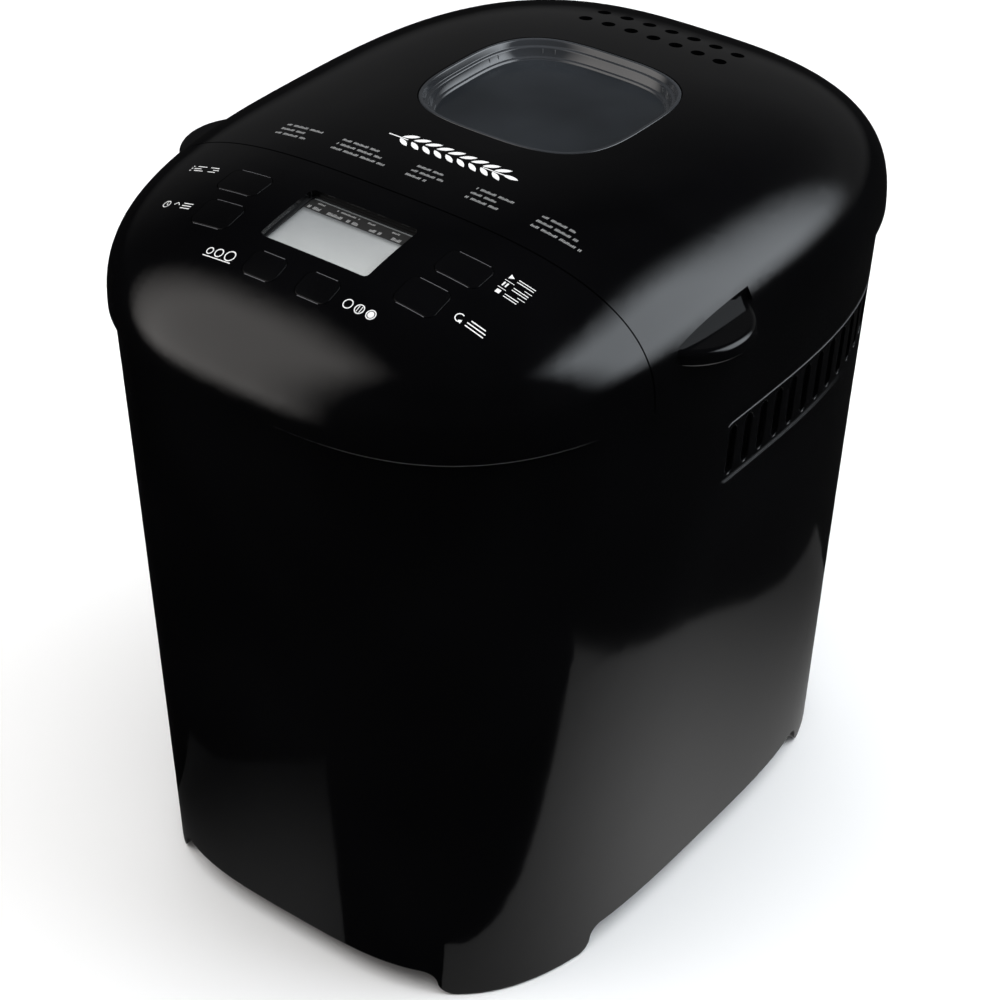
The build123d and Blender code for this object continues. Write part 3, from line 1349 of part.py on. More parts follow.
with BuildPart() as tab_backs:
    with BuildSketch(Plane.XY.offset(tab_top - 2 * TAB_THICKNESS)):
        with Locations((0, tab_y)):
            with GridLocations(2 * (HALF_WIDTH - TAB_ROOT), 0, 2, 1):
                Rectangle(2 * TAB_ROOT, 2 * (TAB_HALF_CHORD + WALL))
    extrude(amount=3 * TAB_THICKNESS)
    add(boss_dome, mode=Mode.INTERSECT)

with BuildPart() as lid_bosses:
    with BuildSketch(Plane.XY.offset(LINER_TOP)):
        with Locations(*lid_boss_places):
            Circle(BOSS_RADIUS)
    extrude(amount=DOME_HEIGHT)
    add(boss_dome, mode=Mode.INTERSECT)

steam_places = [
    ((column - (STEAM_COLUMNS - 1) / 2) * STEAM_PITCH, HALF_DEPTH - gap)
    for gap in STEAM_BACK_GAPS
    for column in range(STEAM_COLUMNS)
]
steam_places = [(x, y - STEAM_BOW * x**2) for x, y in steam_places]
hinge_span = KNUCKLE_WIDTH + 2 * (LUG_WIDTH + HINGE_SIDE_GAP)

with BuildPart() as lid_cover:
    add(dome_slice(outer_dome, LID_FRONT_Y, FAR))
    add(dome_slice(inner_dome, LID_FRONT_Y + WALL, FAR), mode=Mode.SUBTRACT)
    add(tab_backs.part)
    with BuildSketch(Plane.XY.offset(tab_top)):
        with Locations((0, tab_y)):
            with GridLocations(2 * (HALF_WIDTH - TAB_SCOOP + TAB_ROOT), 0, 2, 1):
                Rectangle(2 * TAB_ROOT, 2 * TAB_HALF_CHORD)
    extrude(amount=DOME_HEIGHT, mode=Mode.SUBTRACT)
    add(tabs.part)
    add(lid_bosses.part)
    with BuildSketch(Plane.XY.offset(LINER_TOP)):
        with Locations(*lid_boss_places):
            Circle(SCREW_RADIUS + PRESSED)
    extrude(amount=SCREW_LENGTH, mode=Mode.SUBTRACT)
    add(prism(window_outline(0), LINER_TOP, COLLAR_HEIGHT + 2 * DOME_HEIGHT), mode=Mode.SUBTRACT)
    with BuildSketch(Plane.XY.offset(LINER_TOP)):
        with Locations(*steam_places):
            Circle(STEAM_RADIUS)
    extrude(amount=2 * DOME_HEIGHT, mode=Mode.SUBTRACT)
    with BuildSketch(Plane.XY.offset(COLLAR_HEIGHT - WALL)):
        with Locations((0, HINGE_Y + KNUCKLE_RADIUS / 2)):
            with GridLocations(2 * HINGE_X, 0, 2, 1):
                Rectangle(hinge_span + 2 * CLEARANCE, 3 * KNUCKLE_RADIUS)
    extrude(amount=HINGE_Z + KNUCKLE_RADIUS + FINE - COLLAR_HEIGHT + WALL, mode=Mode.SUBTRACT)
save(lid_cover.part, "lid_cover")

chimney_outer = window_outline(-FINE)
chimney_inner = window_outline(CHIMNEY_WALL)
liner_window = window_outline(3 * CHIMNEY_WALL)
liner_rear_y = HINGE_Y - 2 * KNUCKLE_RADIUS

with BuildPart() as lid_liner:
    add(dome_slice(dome_block(WALL + 2 * CLEARANCE), LID_FRONT_Y + WALL + CLEARANCE, liner_rear_y))
    with BuildSketch(Plane.XY.offset(LINER_Z)):
        Rectangle(2 * FAR, 2 * FAR)
    extrude(amount=LINER_THICKNESS, mode=Mode.INTERSECT)
    add(prism(chimney_outer, LINER_Z, window_base_z))
    add(prism(chimney_inner, LINER_TOP, window_base_z), mode=Mode.SUBTRACT)
    add(prism(liner_window, LINER_Z, LINER_TOP), mode=Mode.SUBTRACT)
    with BuildSketch(Plane.XY.offset(LINER_Z)):
        with Locations(*lid_boss_places):
            Circle(SCREW_RADIUS + PRESSED)
    extrude(amount=LINER_THICKNESS, mode=Mode.SUBTRACT)
save(lid_liner.part, "lid_liner")
save(screws(lid_boss_places, LINER_Z), "lid_screws")

with BuildPart() as lid_window:
    add(prism(window_outline(CLEARANCE), window_base_z, COLLAR_HEIGHT + 2 * DOME_HEIGHT))
    add(outer_dome, mode=Mode.INTERSECT)
    step_z = COLLAR_HEIGHT + DOME_HEIGHT - WINDOW_STEP_DEPTH
    add(
        prism(window_outline(CLEARANCE + WINDOW_WALL), step_z, COLLAR_HEIGHT + 2 * DOME_HEIGHT),
        mode=Mode.SUBTRACT,
    )
    add(prism(window_outline(CLEARANCE + 2 * WINDOW_WALL), window_floor_z, step_z), mode=Mode.SUBTRACT)
save(lid_window.part, "lid_window")

glass_outline = window_outline(CHIMNEY_WALL + CLEARANCE)
glass_top = LINER_TOP + GLASS_THICKNESS
save(prism(glass_outline, LINER_TOP, glass_top), "inner_glass")

with BuildPart() as window_gasket:
    add(prism(glass_outline, glass_top, glass_top + GLASS_THICKNESS))
    gasket_inner = window_outline(2 * CHIMNEY_WALL + CLEARANCE)
    add(prism(gasket_inner, glass_top, glass_top + GLASS_THICKNESS), mode=Mode.SUBTRACT)
save(window_gasket.part, "window_gasket")

seal = rounded_ring(
    DECK_TOP + TRIM_HEIGHT + CLEARANCE,
    LINER_Z,
    grown(*chamber_inner, PLATE + SEAL_WIDTH),
    grown(*chamber_inner, PLATE),
    chamber_centre,
)
save(seal, "lid_seal")

# ---------------------------------------------------------------- hinge

hinge_plane = Plane.YZ
bracket_front_y = CHAMBER_REAR_Y + TRIM_WIDTH + 2 * WALL
arm_front_y = HINGE_Y - 7 * KNUCKLE_RADIUS

with BuildPart() as hinge_brackets:
    for side in (-1, 1):
        with BuildSketch(hinge_plane.offset(side * HINGE_X)):
            with BuildLine():
                Polyline(
                    (bracket_front_y, DECK_TOP),
                    (HINGE_Y, DECK_TOP),
                    (HINGE_Y, DECK_TOP + HINGE_FOOT),
                    (bracket_front_y, DECK_TOP + HINGE_FOOT),
                    close=True,
                )
            make_face()
            with Locations((HINGE_Y, HINGE_Z)):
                Circle(KNUCKLE_RADIUS)
                Circle(PIN_RADIUS + RUNNING, mode=Mode.SUBTRACT)
        extrude(amount=KNUCKLE_WIDTH / 2, both=True)
save(hinge_brackets.part, "hinge_brackets")

lug_offset = (KNUCKLE_WIDTH + LUG_WIDTH) / 2 + HINGE_SIDE_GAP
with BuildPart() as hinge_arms:
    for side in (-1, 1):
        for lug in (-1, 1):
            with BuildSketch(hinge_plane.offset(side * HINGE_X + lug * lug_offset)):
                with BuildLine():
                    Polyline(
                        (arm_front_y, LINER_TOP),
                        (HINGE_Y, LINER_TOP),
                        (HINGE_Y, HINGE_Z + KNUCKLE_RADIUS),
                        (arm_front_y, HINGE_Z + KNUCKLE_RADIUS),
                        close=True,
                    )
                make_face()
                with Locations((HINGE_Y, HINGE_Z)):
                    Circle(KNUCKLE_RADIUS)
                    Circle(PIN_RADIUS + PRESSED, mode=Mode.SUBTRACT)
            extrude(amount=LUG_WIDTH / 2, both=True)
        with BuildSketch(Plane.XY.offset(LINER_TOP)):
            with Locations((side * HINGE_X, arm_front_y + KNUCKLE_RADIUS)):
                Rectangle(hinge_span, 2 * KNUCKLE_RADIUS)
        extrude(amount=HINGE_Z + KNUCKLE_RADIUS - LINER_TOP)
save(hinge_arms.part, "hinge_arms")

with BuildPart() as hinge_pins:
    for side in (-1, 1):
        with BuildSketch(hinge_plane.offset(side * HINGE_X)):
            with Locations((HINGE_Y, HINGE_Z)):
                Circle(PIN_RADIUS)
        extrude(amount=hinge_span / 2, both=True)
save(hinge_pins.part, "hinge_pins")
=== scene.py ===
import math

import bmesh
import bpy
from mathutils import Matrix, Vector
from mathutils.bvhtree import BVHTree


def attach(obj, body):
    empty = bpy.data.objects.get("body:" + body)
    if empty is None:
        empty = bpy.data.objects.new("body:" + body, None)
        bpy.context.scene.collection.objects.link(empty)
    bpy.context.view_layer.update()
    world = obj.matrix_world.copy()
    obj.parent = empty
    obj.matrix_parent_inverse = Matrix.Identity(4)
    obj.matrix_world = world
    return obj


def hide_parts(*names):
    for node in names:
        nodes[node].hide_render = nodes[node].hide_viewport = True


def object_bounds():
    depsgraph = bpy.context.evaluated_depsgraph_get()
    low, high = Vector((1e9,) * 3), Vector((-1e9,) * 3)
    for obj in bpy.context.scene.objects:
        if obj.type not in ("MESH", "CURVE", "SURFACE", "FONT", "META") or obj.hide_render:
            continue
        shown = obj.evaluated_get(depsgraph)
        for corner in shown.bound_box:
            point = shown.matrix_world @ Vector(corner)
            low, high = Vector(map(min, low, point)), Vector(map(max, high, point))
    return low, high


# Bread machine: looks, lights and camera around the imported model. Metres, +Z up, front at -Y.

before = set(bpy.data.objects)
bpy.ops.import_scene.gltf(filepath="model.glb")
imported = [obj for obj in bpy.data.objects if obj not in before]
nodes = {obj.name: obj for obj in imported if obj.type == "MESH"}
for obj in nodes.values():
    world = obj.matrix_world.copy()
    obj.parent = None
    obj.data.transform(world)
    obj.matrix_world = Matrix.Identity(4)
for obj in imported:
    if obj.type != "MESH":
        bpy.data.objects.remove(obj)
cad_low, cad_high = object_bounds()
scene = bpy.context.scene
MM = 0.001

# ------------------------------------------------------------------ camera

CAMERA_AZIMUTH = math.radians(37.48)
CAMERA_ELEVATION = math.radians(35.52)
CAMERA_DISTANCE = 1.0707
CAMERA_TARGET = Vector((-0.0027, -0.0021, 0.135))

camera = bpy.data.objects.new("camera", bpy.data.cameras.new("camera"))
scene.collection.objects.link(camera)
camera.data.lens = 94.05
camera.data.sensor_width = 36.0
back = Vector((
    math.sin(CAMERA_AZIMUTH) * math.cos(CAMERA_ELEVATION),
    -math.cos(CAMERA_AZIMUTH) * math.cos(CAMERA_ELEVATION),
    math.sin(CAMERA_ELEVATION),
))
camera.location = CAMERA_TARGET + back * CAMERA_DISTANCE
camera.rotation_mode = "QUATERNION"
camera.rotation_quaternion = (-back).to_track_quat("-Z", "Y")
camera.data.clip_start = 0.05
camera.data.clip_end = 60.0
scene.camera = camera
scene.view_settings.view_transform = "Standard"

# ------------------------------------------------------------------ materials


def new_material(name):
    material = bpy.data.materials.new(name)
    material.use_nodes = True
    tree = material.node_tree
    return material, tree, tree.nodes["Principled BSDF"]


def noise_node(tree, scale, detail=3.0, stretch=None):
    """Noise over the object's own coordinates, in cycles per metre, with an optional stretch."""
    place = tree.nodes.new("ShaderNodeTexCoord")
    noise = tree.nodes.new("ShaderNodeTexNoise")
    noise.inputs["Scale"].default_value = scale
    noise.inputs["Detail"].default_value = detail
    source = place.outputs["Object"]
    if stretch:
        mapping = tree.nodes.new("ShaderNodeMapping")
        mapping.inputs["Scale"].default_value = stretch
        tree.links.new(source, mapping.inputs["Vector"])
        source = mapping.outputs["Vector"]
    tree.links.new(source, noise.inputs["Vector"])
    return noise


def spread(tree, source, low, high, start=0.35, end=0.65):
    """Map a value from start..end to low..high."""
    node = tree.nodes.new("ShaderNodeMapRange")
    node.inputs["From Min"].default_value = start
    node.inputs["From Max"].default_value = end
    node.inputs["To Min"].default_value = low
    node.inputs["To Max"].default_value = high
    tree.links.new(source, node.inputs["Value"])
    return node.outputs["Result"]


def tint(tree, source, low, high):
    """Blend two colours by a value."""
    node = tree.nodes.new("ShaderNodeMix")
    node.data_type = "RGBA"
    node.inputs[6].default_value = (*low, 1.0)
    node.inputs[7].default_value = (*high, 1.0)
    tree.links.new(source, node.inputs[0])
    return node.outputs[2]


def math_node(tree, operation, first, second):
    node = tree.nodes.new("ShaderNodeMath")
    node.operation = operation
    for index, value in enumerate((first, second)):
        if isinstance(value, (int, float)):
            node.inputs[index].default_value = value
        else:
            tree.links.new(value, node.inputs[index])
    return node.outputs[0]


def bump(tree, shader, source, strength, distance, edge=0.0):
    """Fine relief, over edges rounded by a radius."""
    node = tree.nodes.new("ShaderNodeBump")
    node.inputs["Strength"].default_value = strength
    node.inputs["Distance"].default_value = distance
    tree.links.new(source, node.inputs["Height"])
    if edge:
        soft = tree.nodes.new("ShaderNodeBevel")
        soft.samples = 6
        soft.inputs["Radius"].default_value = edge
        tree.links.new(soft.outputs["Normal"], node.inputs["Normal"])
    tree.links.new(node.outputs["Normal"], shader.inputs["Normal"])


def plastic(
    name, color, rough, vary=0.03, grain=0.05, grain_scale=900.0, lift=1.6, specular=0.5, edge=0.0
):
    """Moulded plastic: slight colour and gloss variation, with a fine grain."""
    material, tree, shader = new_material(name)
    cloud = noise_node(tree, 14.0)
    light = tuple(min(channel * lift, 1.0) for channel in color)
    shade = tint(tree, spread(tree, cloud.outputs["Fac"], 0.0, 1.0), color, light)
    tree.links.new(shade, shader.inputs["Base Color"])
    smear = noise_node(tree, 45.0)
    gloss = spread(tree, smear.outputs["Fac"], rough - vary, rough + vary)
    tree.links.new(gloss, shader.inputs["Roughness"])
    shader.inputs["Specular IOR Level"].default_value = specular
    pits = noise_node(tree, grain_scale, 2.0)
    bump(tree, shader, pits.outputs["Fac"], grain, 0.0001, edge)
    return material


def metal(name, color, rough, stretch, vary=0.06, strength=0.12, lift=1.25, scale=60.0):
    """Metal with fine drawn or brushed lines along one direction."""
    material, tree, shader = new_material(name)
    lines = noise_node(tree, scale, 4.0, stretch)
    dark = tuple(channel / lift for channel in color)
    shade = tint(tree, spread(tree, lines.outputs["Fac"], 0.0, 1.0), dark, color)
    tree.links.new(shade, shader.inputs["Base Color"])
    cloud = noise_node(tree, 25.0)
    gloss = spread(tree, cloud.outputs["Fac"], rough - vary, rough + vary)
    tree.links.new(gloss, shader.inputs["Roughness"])
    shader.inputs["Metallic"].default_value = 1.0
    bump(tree, shader, lines.outputs["Fac"], strength, 0.0001)
    return material


def clear(name, color, rough, alpha):
    """Clear or smoked sheet, with faint smears in its gloss."""
    material, tree, shader = new_material(name)
    smear = noise_node(tree, 30.0)
    tree.links.new(spread(tree, smear.outputs["Fac"], rough, rough + 0.03), shader.inputs["Roughness"])
    light = tuple(min(channel * 1.3, 1.0) for channel in color)
    shade = tint(tree, spread(tree, smear.outputs["Fac"], 0.0, 1.0), color, light)
    tree.links.new(shade, shader.inputs["Base Color"])
    shader.inputs["Alpha"].default_value = alpha
    return material


def speckled(name, color, fleck, rough, scale=1400.0):
    """Non-stick coating: dark ground with fine light flecks."""
    material, tree, shader = new_material(name)
    flecks = noise_node(tree, scale, 1.0)
    shade = tint(tree, spread(tree, flecks.outputs["Fac"], 0.0, 1.0, 0.62, 0.72), color, fleck)
    tree.links.new(shade, shader.inputs["Base Color"])
    cloud = noise_node(tree, 30.0)
    gloss = spread(tree, cloud.outputs["Fac"], rough - 0.05, rough + 0.05)
    tree.links.new(gloss, shader.inputs["Roughness"])
    shader.inputs["Metallic"].default_value = 0.3
    bump(tree, shader, flecks.outputs["Fac"], 0.15, 0.0001)
    return material


def board(name, ground, track):
    """Circuit board: solder mask with paler tracks under it."""
    material, tree, shader = new_material(name)
    place = tree.nodes.new("ShaderNodeTexCoord")
    tracks = tree.nodes.new("ShaderNodeTexBrick")
    tracks.inputs["Scale"].default_value = 220.0
    tracks.inputs["Mortar Size"].default_value = 0.04
    tree.links.new(place.outputs["Object"], tracks.inputs["Vector"])
    tree.links.new(tint(tree, tracks.outputs["Fac"], ground, track), shader.inputs["Base Color"])
    cloud = noise_node(tree, 60.0)
    tree.links.new(spread(tree, cloud.outputs["Fac"], 0.3, 0.42), shader.inputs["Roughness"])
    return material


def display_panel():
    """Liquid crystal panel: silver grey, paler towards the front right, with painted shade darkening it
    towards the rear left.
    """
    material, tree, shader = new_material("display_panel")
    place = tree.nodes.new("ShaderNodeTexCoord")
    split = tree.nodes.new("ShaderNodeSeparateXYZ")
    tree.links.new(place.outputs["Object"], split.inputs[0])
    # painted shade: a diagonal ramp darkens the panel towards the rear left and pales it towards the front
    # right
    lean = math_node(tree, "MULTIPLY", split.outputs[0], 0.35)
    diagonal = math_node(tree, "SUBTRACT", split.outputs[1], lean)
    across = spread(tree, diagonal, 1.0, 0.0, -0.118, -0.082)
    tree.links.new(tint(tree, across, (0.07, 0.07, 0.069), (0.3, 0.3, 0.285)), shader.inputs["Base Color"])
    cloud = noise_node(tree, 80.0)
    tree.links.new(spread(tree, cloud.outputs["Fac"], 0.28, 0.36), shader.inputs["Roughness"])
    return material


BLACK = (0.0012, 0.0012, 0.0014)
gloss_black = plastic("gloss_black", BLACK, 0.1, vary=0.012, grain=0.015)
shell_black = plastic("shell_black", BLACK, 0.1, vary=0.012, grain=0.015, edge=0.0005)
key_black = plastic("key_black", BLACK, 0.2, vary=0.02, grain=0.02, edge=0.0003)
satin_black = plastic("satin_black", (0.003, 0.003, 0.0033), 0.3, grain=0.06)
inner_black = plastic("inner_black", (0.012, 0.012, 0.013), 0.42, grain=0.2, grain_scale=1500.0)
window_smoke = plastic("window_smoke", (0.011, 0.0125, 0.0145), 0.13, vary=0.03, grain=0.02, lift=1.7)
rim_clear = plastic("rim_clear", (0.02, 0.0215, 0.024), 0.09, vary=0.03, grain=0.04, lift=1.8, specular=0.9)
rib_clear = plastic("rib_clear", (0.1, 0.105, 0.11), 0.2, vary=0.03, grain=0.04, lift=1.5, specular=0.9)
lens_clear = clear("lens_clear", (0.7, 0.74, 0.76), 0.05, 0.12)
glass_clear = clear("glass_clear", (0.5, 0.56, 0.58), 0.04, 0.3)
print_white = plastic("print_white", (0.66, 0.66, 0.66), 0.5, lift=1.1)
print_grey = plastic("print_grey", (0.2, 0.2, 0.2), 0.5, lift=1.2)
print_dark = plastic("print_dark", (0.012, 0.012, 0.012), 0.5, lift=1.2)
# painted highlight: light grey for thin beads that stand in for light caught along edges
edge_highlight_grey = plastic("edge_highlight_grey", (0.075, 0.075, 0.08), 0.3, lift=1.3)
# painted highlight: grey for small beads that stand in for glints at the vent slots' feet
glint_grey = plastic("glint_grey", (0.14, 0.14, 0.145), 0.3, lift=1.3)
switch_grey = plastic("switch_grey", (0.03, 0.03, 0.032), 0.45)
ceramic = plastic("ceramic", (0.62, 0.6, 0.54), 0.3, lift=1.15)
nylon = plastic("nylon", (0.55, 0.53, 0.47), 0.45, lift=1.15)
rubber_black = plastic("rubber_black", (0.012, 0.012, 0.012), 0.8, grain=0.4, grain_scale=1600.0)
silicone_grey = plastic("silicone_grey", (0.16, 0.16, 0.155), 0.65, grain=0.25, lift=1.2)
green_board = board("green_board", (0.012, 0.07, 0.03), (0.05, 0.17, 0.08))
plated_steel = metal("plated_steel", (0.55, 0.55, 0.56), 0.32, (1, 1, 1))
galvanised = metal("galvanised", (0.42, 0.43, 0.44), 0.38, (1, 1, 1), scale=25.0)
chamber_sheet = metal("chamber_sheet", (0.3, 0.3, 0.3), 0.36, (1, 1, 12))
brushed_trim = metal("brushed_trim", (0.6, 0.6, 0.61), 0.27, (1, 14, 1))
dark_element = metal("dark_element", (0.13, 0.12, 0.11), 0.42, (1, 1, 1))
cast_metal = metal("cast_metal", (0.6, 0.6, 0.62), 0.4, (1, 1, 1), strength=0.25, scale=300.0)
ground_steel = metal("ground_steel", (0.62, 0.62, 0.64), 0.22, (1, 1, 20))
bronze = metal("bronze", (0.5, 0.33, 0.13), 0.35, (1, 1, 1), scale=200.0)
laminated = metal("laminated", (0.24, 0.25, 0.27), 0.45, (1, 1, 60), strength=0.5)
bright_wire = metal("bright_wire", (0.75, 0.75, 0.77), 0.12, (1, 1, 1), strength=0.03)
hinge_paint = plastic("hinge_paint", (0.006, 0.006, 0.006), 0.4, grain=0.15)
pan_coat = speckled("pan_coat", (0.022, 0.022, 0.023), (0.09, 0.09, 0.09), 0.34)

KEY_NODES = (
    "menu_button", "start_button", "time_button", "cycle_button", "weight_button", "colour_button",
)
LOOKS = {
    shell_black: ("body_shell",),
    gloss_black: ("control_cover", "lid_cover"),
    key_black: KEY_NODES,
    satin_black: ("display_bezel",),
    inner_black: ("base_plate", "top_deck", "lid_liner", "cord_gland"),
    window_smoke: ("lid_window",),
    glass_clear: ("inner_glass",),
    lens_clear: ("display_lens",),
    green_board: ("control_board", "power_board"),
    switch_grey: ("tact_switches", "motor_capacitor"),
    plated_steel: ("case_screws", "lid_screws", "chamber_standoffs", "element_brackets"),
    galvanised: ("chassis_plate", "heat_shield", "pan_clips", "bail_ears"),
    chamber_sheet: ("oven_chamber",),
    brushed_trim: ("oven_trim_ring",),
    dark_element: ("heating_element",),
    ceramic: ("element_terminals", "thermal_fuse"),
    ground_steel: ("temperature_sensor", "drive_shaft", "motor_rotor", "pan_shaft", "hinge_pins"),
    laminated: ("transformer", "motor_body"),
    cast_metal: (
        "drive_housing", "drive_coupling", "motor_pulley", "pan_base_ring", "pan_bush", "pan_coupling",
    ),
    bronze: ("drive_bushes",),
    nylon: ("drive_pulley",),
    rubber_black: ("drive_belt", "foot_pads"),
    silicone_grey: ("lid_seal", "window_gasket"),
    pan_coat: ("bread_pan", "kneading_paddle"),
    bright_wire: ("bail_handle",),
    hinge_paint: ("hinge_brackets", "hinge_arms"),
    display_panel(): ("lcd_module",),
}
for material, names in LOOKS.items():
    for name in names:
        nodes[name].data.materials.clear()
        nodes[name].data.materials.append(material)

# ------------------------------------------------------------------ mesh helpers


def tree_of(*names):
    """Search tree over CAD nodes, for setting thin pieces on their surface."""
    mesh = bmesh.new()
    for name in names:
        mesh.from_mesh(nodes[name].data)
    found = BVHTree.FromBMesh(mesh)
    mesh.free()
    return found


def link(name, mesh, material, body):
    """Object from a bmesh, riding on a body."""
    data = bpy.data.meshes.new(name)
    mesh.normal_update()
    mesh.to_mesh(data)
    mesh.free()
    data.materials.append(material)
    piece = bpy.data.objects.new(name, data)
    scene.collection.objects.link(piece)
    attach(piece, body)
    return piece


def printed(name, shapes, surface, material, body, proud=0.00012, sunk=0.0002):
    """Thin closed plates set on a surface from above. Each shape is a list of (x, y) in millimetres."""
    mesh = bmesh.new()
    for shape in shapes:
        tops, bottoms = [], []
        for x, y in shape:
            hit = surface.ray_cast(Vector((x * MM, y * MM, 0.4)), Vector((0, 0, -1)))
            height = hit[0].z if hit[0] else cad_high.z - 0.01
            tops.append(mesh.verts.new((x * MM, y * MM, height + proud)))
            bottoms.append(mesh.verts.new((x * MM, y * MM, height - sunk)))
        mesh.faces.new(tops)
        mesh.faces.new(list(reversed(bottoms)))
        count = len(shape)
        for index in range(count):
            after = (index + 1) % count
            mesh.faces.new((tops[index], bottoms[index], bottoms[after], tops[after]))
    bmesh.ops.recalc_face_normals(mesh, faces=mesh.faces[:])
    return link(name, mesh, material, body)


# Flat shapes in millimetres, as lists of outlines


def bar(x, y, width, height, slant=0.0):
    """Upright-sided bar centred on x, y, leaning by slant at its top."""
    w, h, lean = width / 2, height / 2, slant / 2
    return [
        (x - w - lean, y - h),
        (x + w - lean, y - h),
        (x + w + lean, y + h),
        (x - w + lean, y + h),
    ]


def rod(x0, y0, x1, y1, width):
    """Straight stroke between two points."""
    length = math.hypot(x1 - x0, y1 - y0)
    nx, ny = -(y1 - y0) / length * width / 2, (x1 - x0) / length * width / 2
    return [(x0 - nx, y0 - ny), (x1 - nx, y1 - ny), (x1 + nx, y1 + ny), (x0 + nx, y0 + ny)]


def disc(x, y, radius, count=20, start=0.0, turn=360.0):
    """Disc or pie about a point, in degrees."""
    ends = count if turn == 360.0 else count + 1
    angles = [math.radians(start + turn * index / count) for index in range(ends)]
    return [(x + radius * math.cos(a), y + radius * math.sin(a)) for a in angles]


def arc(x, y, radius, width, start, turn, count=20):
    """Ring sector as short strokes, in degrees."""
    shapes = []
    for index in range(count):
        a = math.radians(start + turn * index / count)
        b = math.radians(start + turn * (index + 1) / count)
        inner, outer = radius - width / 2, radius + width / 2
        shapes.append([
            (x + reach * math.cos(angle), y + reach * math.sin(angle))
            for reach, angle in ((inner, a), (outer, a), (outer, b), (inner, b))
        ])
    return shapes


def leaf(x, y, length, width, lean, count=8):
    """Pointed grain about a point, leaning in degrees."""
    shape = []
    for side in (1, -1):
        for index in range(count):
            t = index / count if side == 1 else 1 - index / count
            along = (t - 0.5) * length
            across = side * width / 2 * math.sin(math.pi * t) ** 0.8 if 0 < t < 1 else 0.0
            a = math.radians(lean)
            shape.append((
                x + along * math.cos(a) - across * math.sin(a),
                y + along * math.sin(a) + across * math.cos(a),
            ))
    return shape


def ticks(x, y, length, height, seed):
    """A line of small strokes in word-like groups: stands for fine print without any lettering."""
    shapes, at, step = [], x, 0
    while at < x + length:
        step += 1
        value = (seed * 37 + step * 53) % 11
        width = 0.32 + 0.05 * (value % 4)
        if value != 3:
            tall = height * (1.0 if value % 3 else 0.72)
            shapes.append(bar(at + width / 2, y - (height - tall) / 2, width, tall, slant=0.12))
        at += width + (0.62 if value == 3 else 0.3)
    return shapes


# ------------------------------------------------------------------ window dish, in the lid

WINDOW_X, WINDOW_Y, WINDOW_POWER, WINDOW_CENTRE = 45.0, 43.0, 3.2, 25.5
DOME_TOP = cad_high.z / MM


def window_ring(inset, count=160):
    ring = []
    for index in range(count):
        angle = 2 * math.pi * index / count
        reach = (abs(math.cos(angle) / (WINDOW_X - inset)) ** WINDOW_POWER
                 + abs(math.sin(angle) / (WINDOW_Y - inset)) ** WINDOW_POWER) ** (-1 / WINDOW_POWER)
        ring.append((reach * math.cos(angle), WINDOW_CENTRE + reach * math.sin(angle)))
    return ring


def window_dish():
    """Clear dish: a rim bead level with the dome, two drafted walls with a ledge, and a smoked floor."""
    surface = tree_of("lid_window")
    edge = []
    for x, y in window_ring(1.0):
        hit = surface.ray_cast(Vector((x * MM, y * MM, 0.4)), Vector((0, 0, -1)))
        edge.append(hit[0].z / MM)
    # inset, then height below the dome's surface at the rim, or below the dome's top where fixed
    profile = (
        (0.35, 3.0, False), (0.35, 0.35, False), (0.5, 0.12, False), (0.8, 0.0, False),
        (1.3, 0.0, False), (1.6, 0.12, False), (1.8, 0.45, False),
        (2.3, 3.3, True), (2.4, 3.5, True), (2.65, 3.6, True), (3.3, 3.65, True), (3.5, 3.8, True),
        (3.65, 4.1, True), (4.3, 6.9, True), (4.45, 7.05, True), (5.2, 7.15, True), (5.4, 7.3, True),
        (5.5, 7.8, True), (5.75, 7.98, True), (6.2, 8.0, True), (16.0, 8.0, True), (30.0, 8.0, True),
    )
    mesh = bmesh.new()
    rows = []
    for inset, drop, fixed in profile:
        ring = window_ring(inset)
        rows.append([
            mesh.verts.new((x * MM, y * MM, (DOME_TOP - drop if fixed else edge[index] - drop) * MM))
            for index, (x, y) in enumerate(ring)
        ])
    count = len(rows[0])
    for row, (low, high) in enumerate(zip(rows, rows[1:])):
        for index in range(count):
            after = (index + 1) % count
            face = mesh.faces.new((low[index], low[after], high[after], high[index]))
            face.smooth = True
            face.material_index = 0 if row < len(rows) - 4 else 1
    middle = mesh.faces.new(rows[-1])
    middle.material_index = 1
    skirt = [mesh.verts.new(v.co - Vector((0, 0, 0.004))) for v in rows[0]]
    under = [mesh.verts.new((x * MM, y * MM, (DOME_TOP - 10.4) * MM)) for x, y in window_ring(2.5)]
    for low, high in ((skirt, rows[0]), (under, skirt)):
        for index in range(count):
            after = (index + 1) % count
            mesh.faces.new((low[index], low[after], high[after], high[index]))
    mesh.faces.new(list(reversed(under))).material_index = 1
    bmesh.ops.recalc_face_normals(mesh, faces=mesh.faces[:])
    piece = link("window_dish", mesh, rim_clear, "lid")
    piece.data.materials.append(window_smoke)
    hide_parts("lid_window")
    return piece


window_dish()

# ------------------------------------------------------------------ printed marks

panel_top = tree_of("control_cover", *KEY_NODES)
lid_top = tree_of("lid_cover")

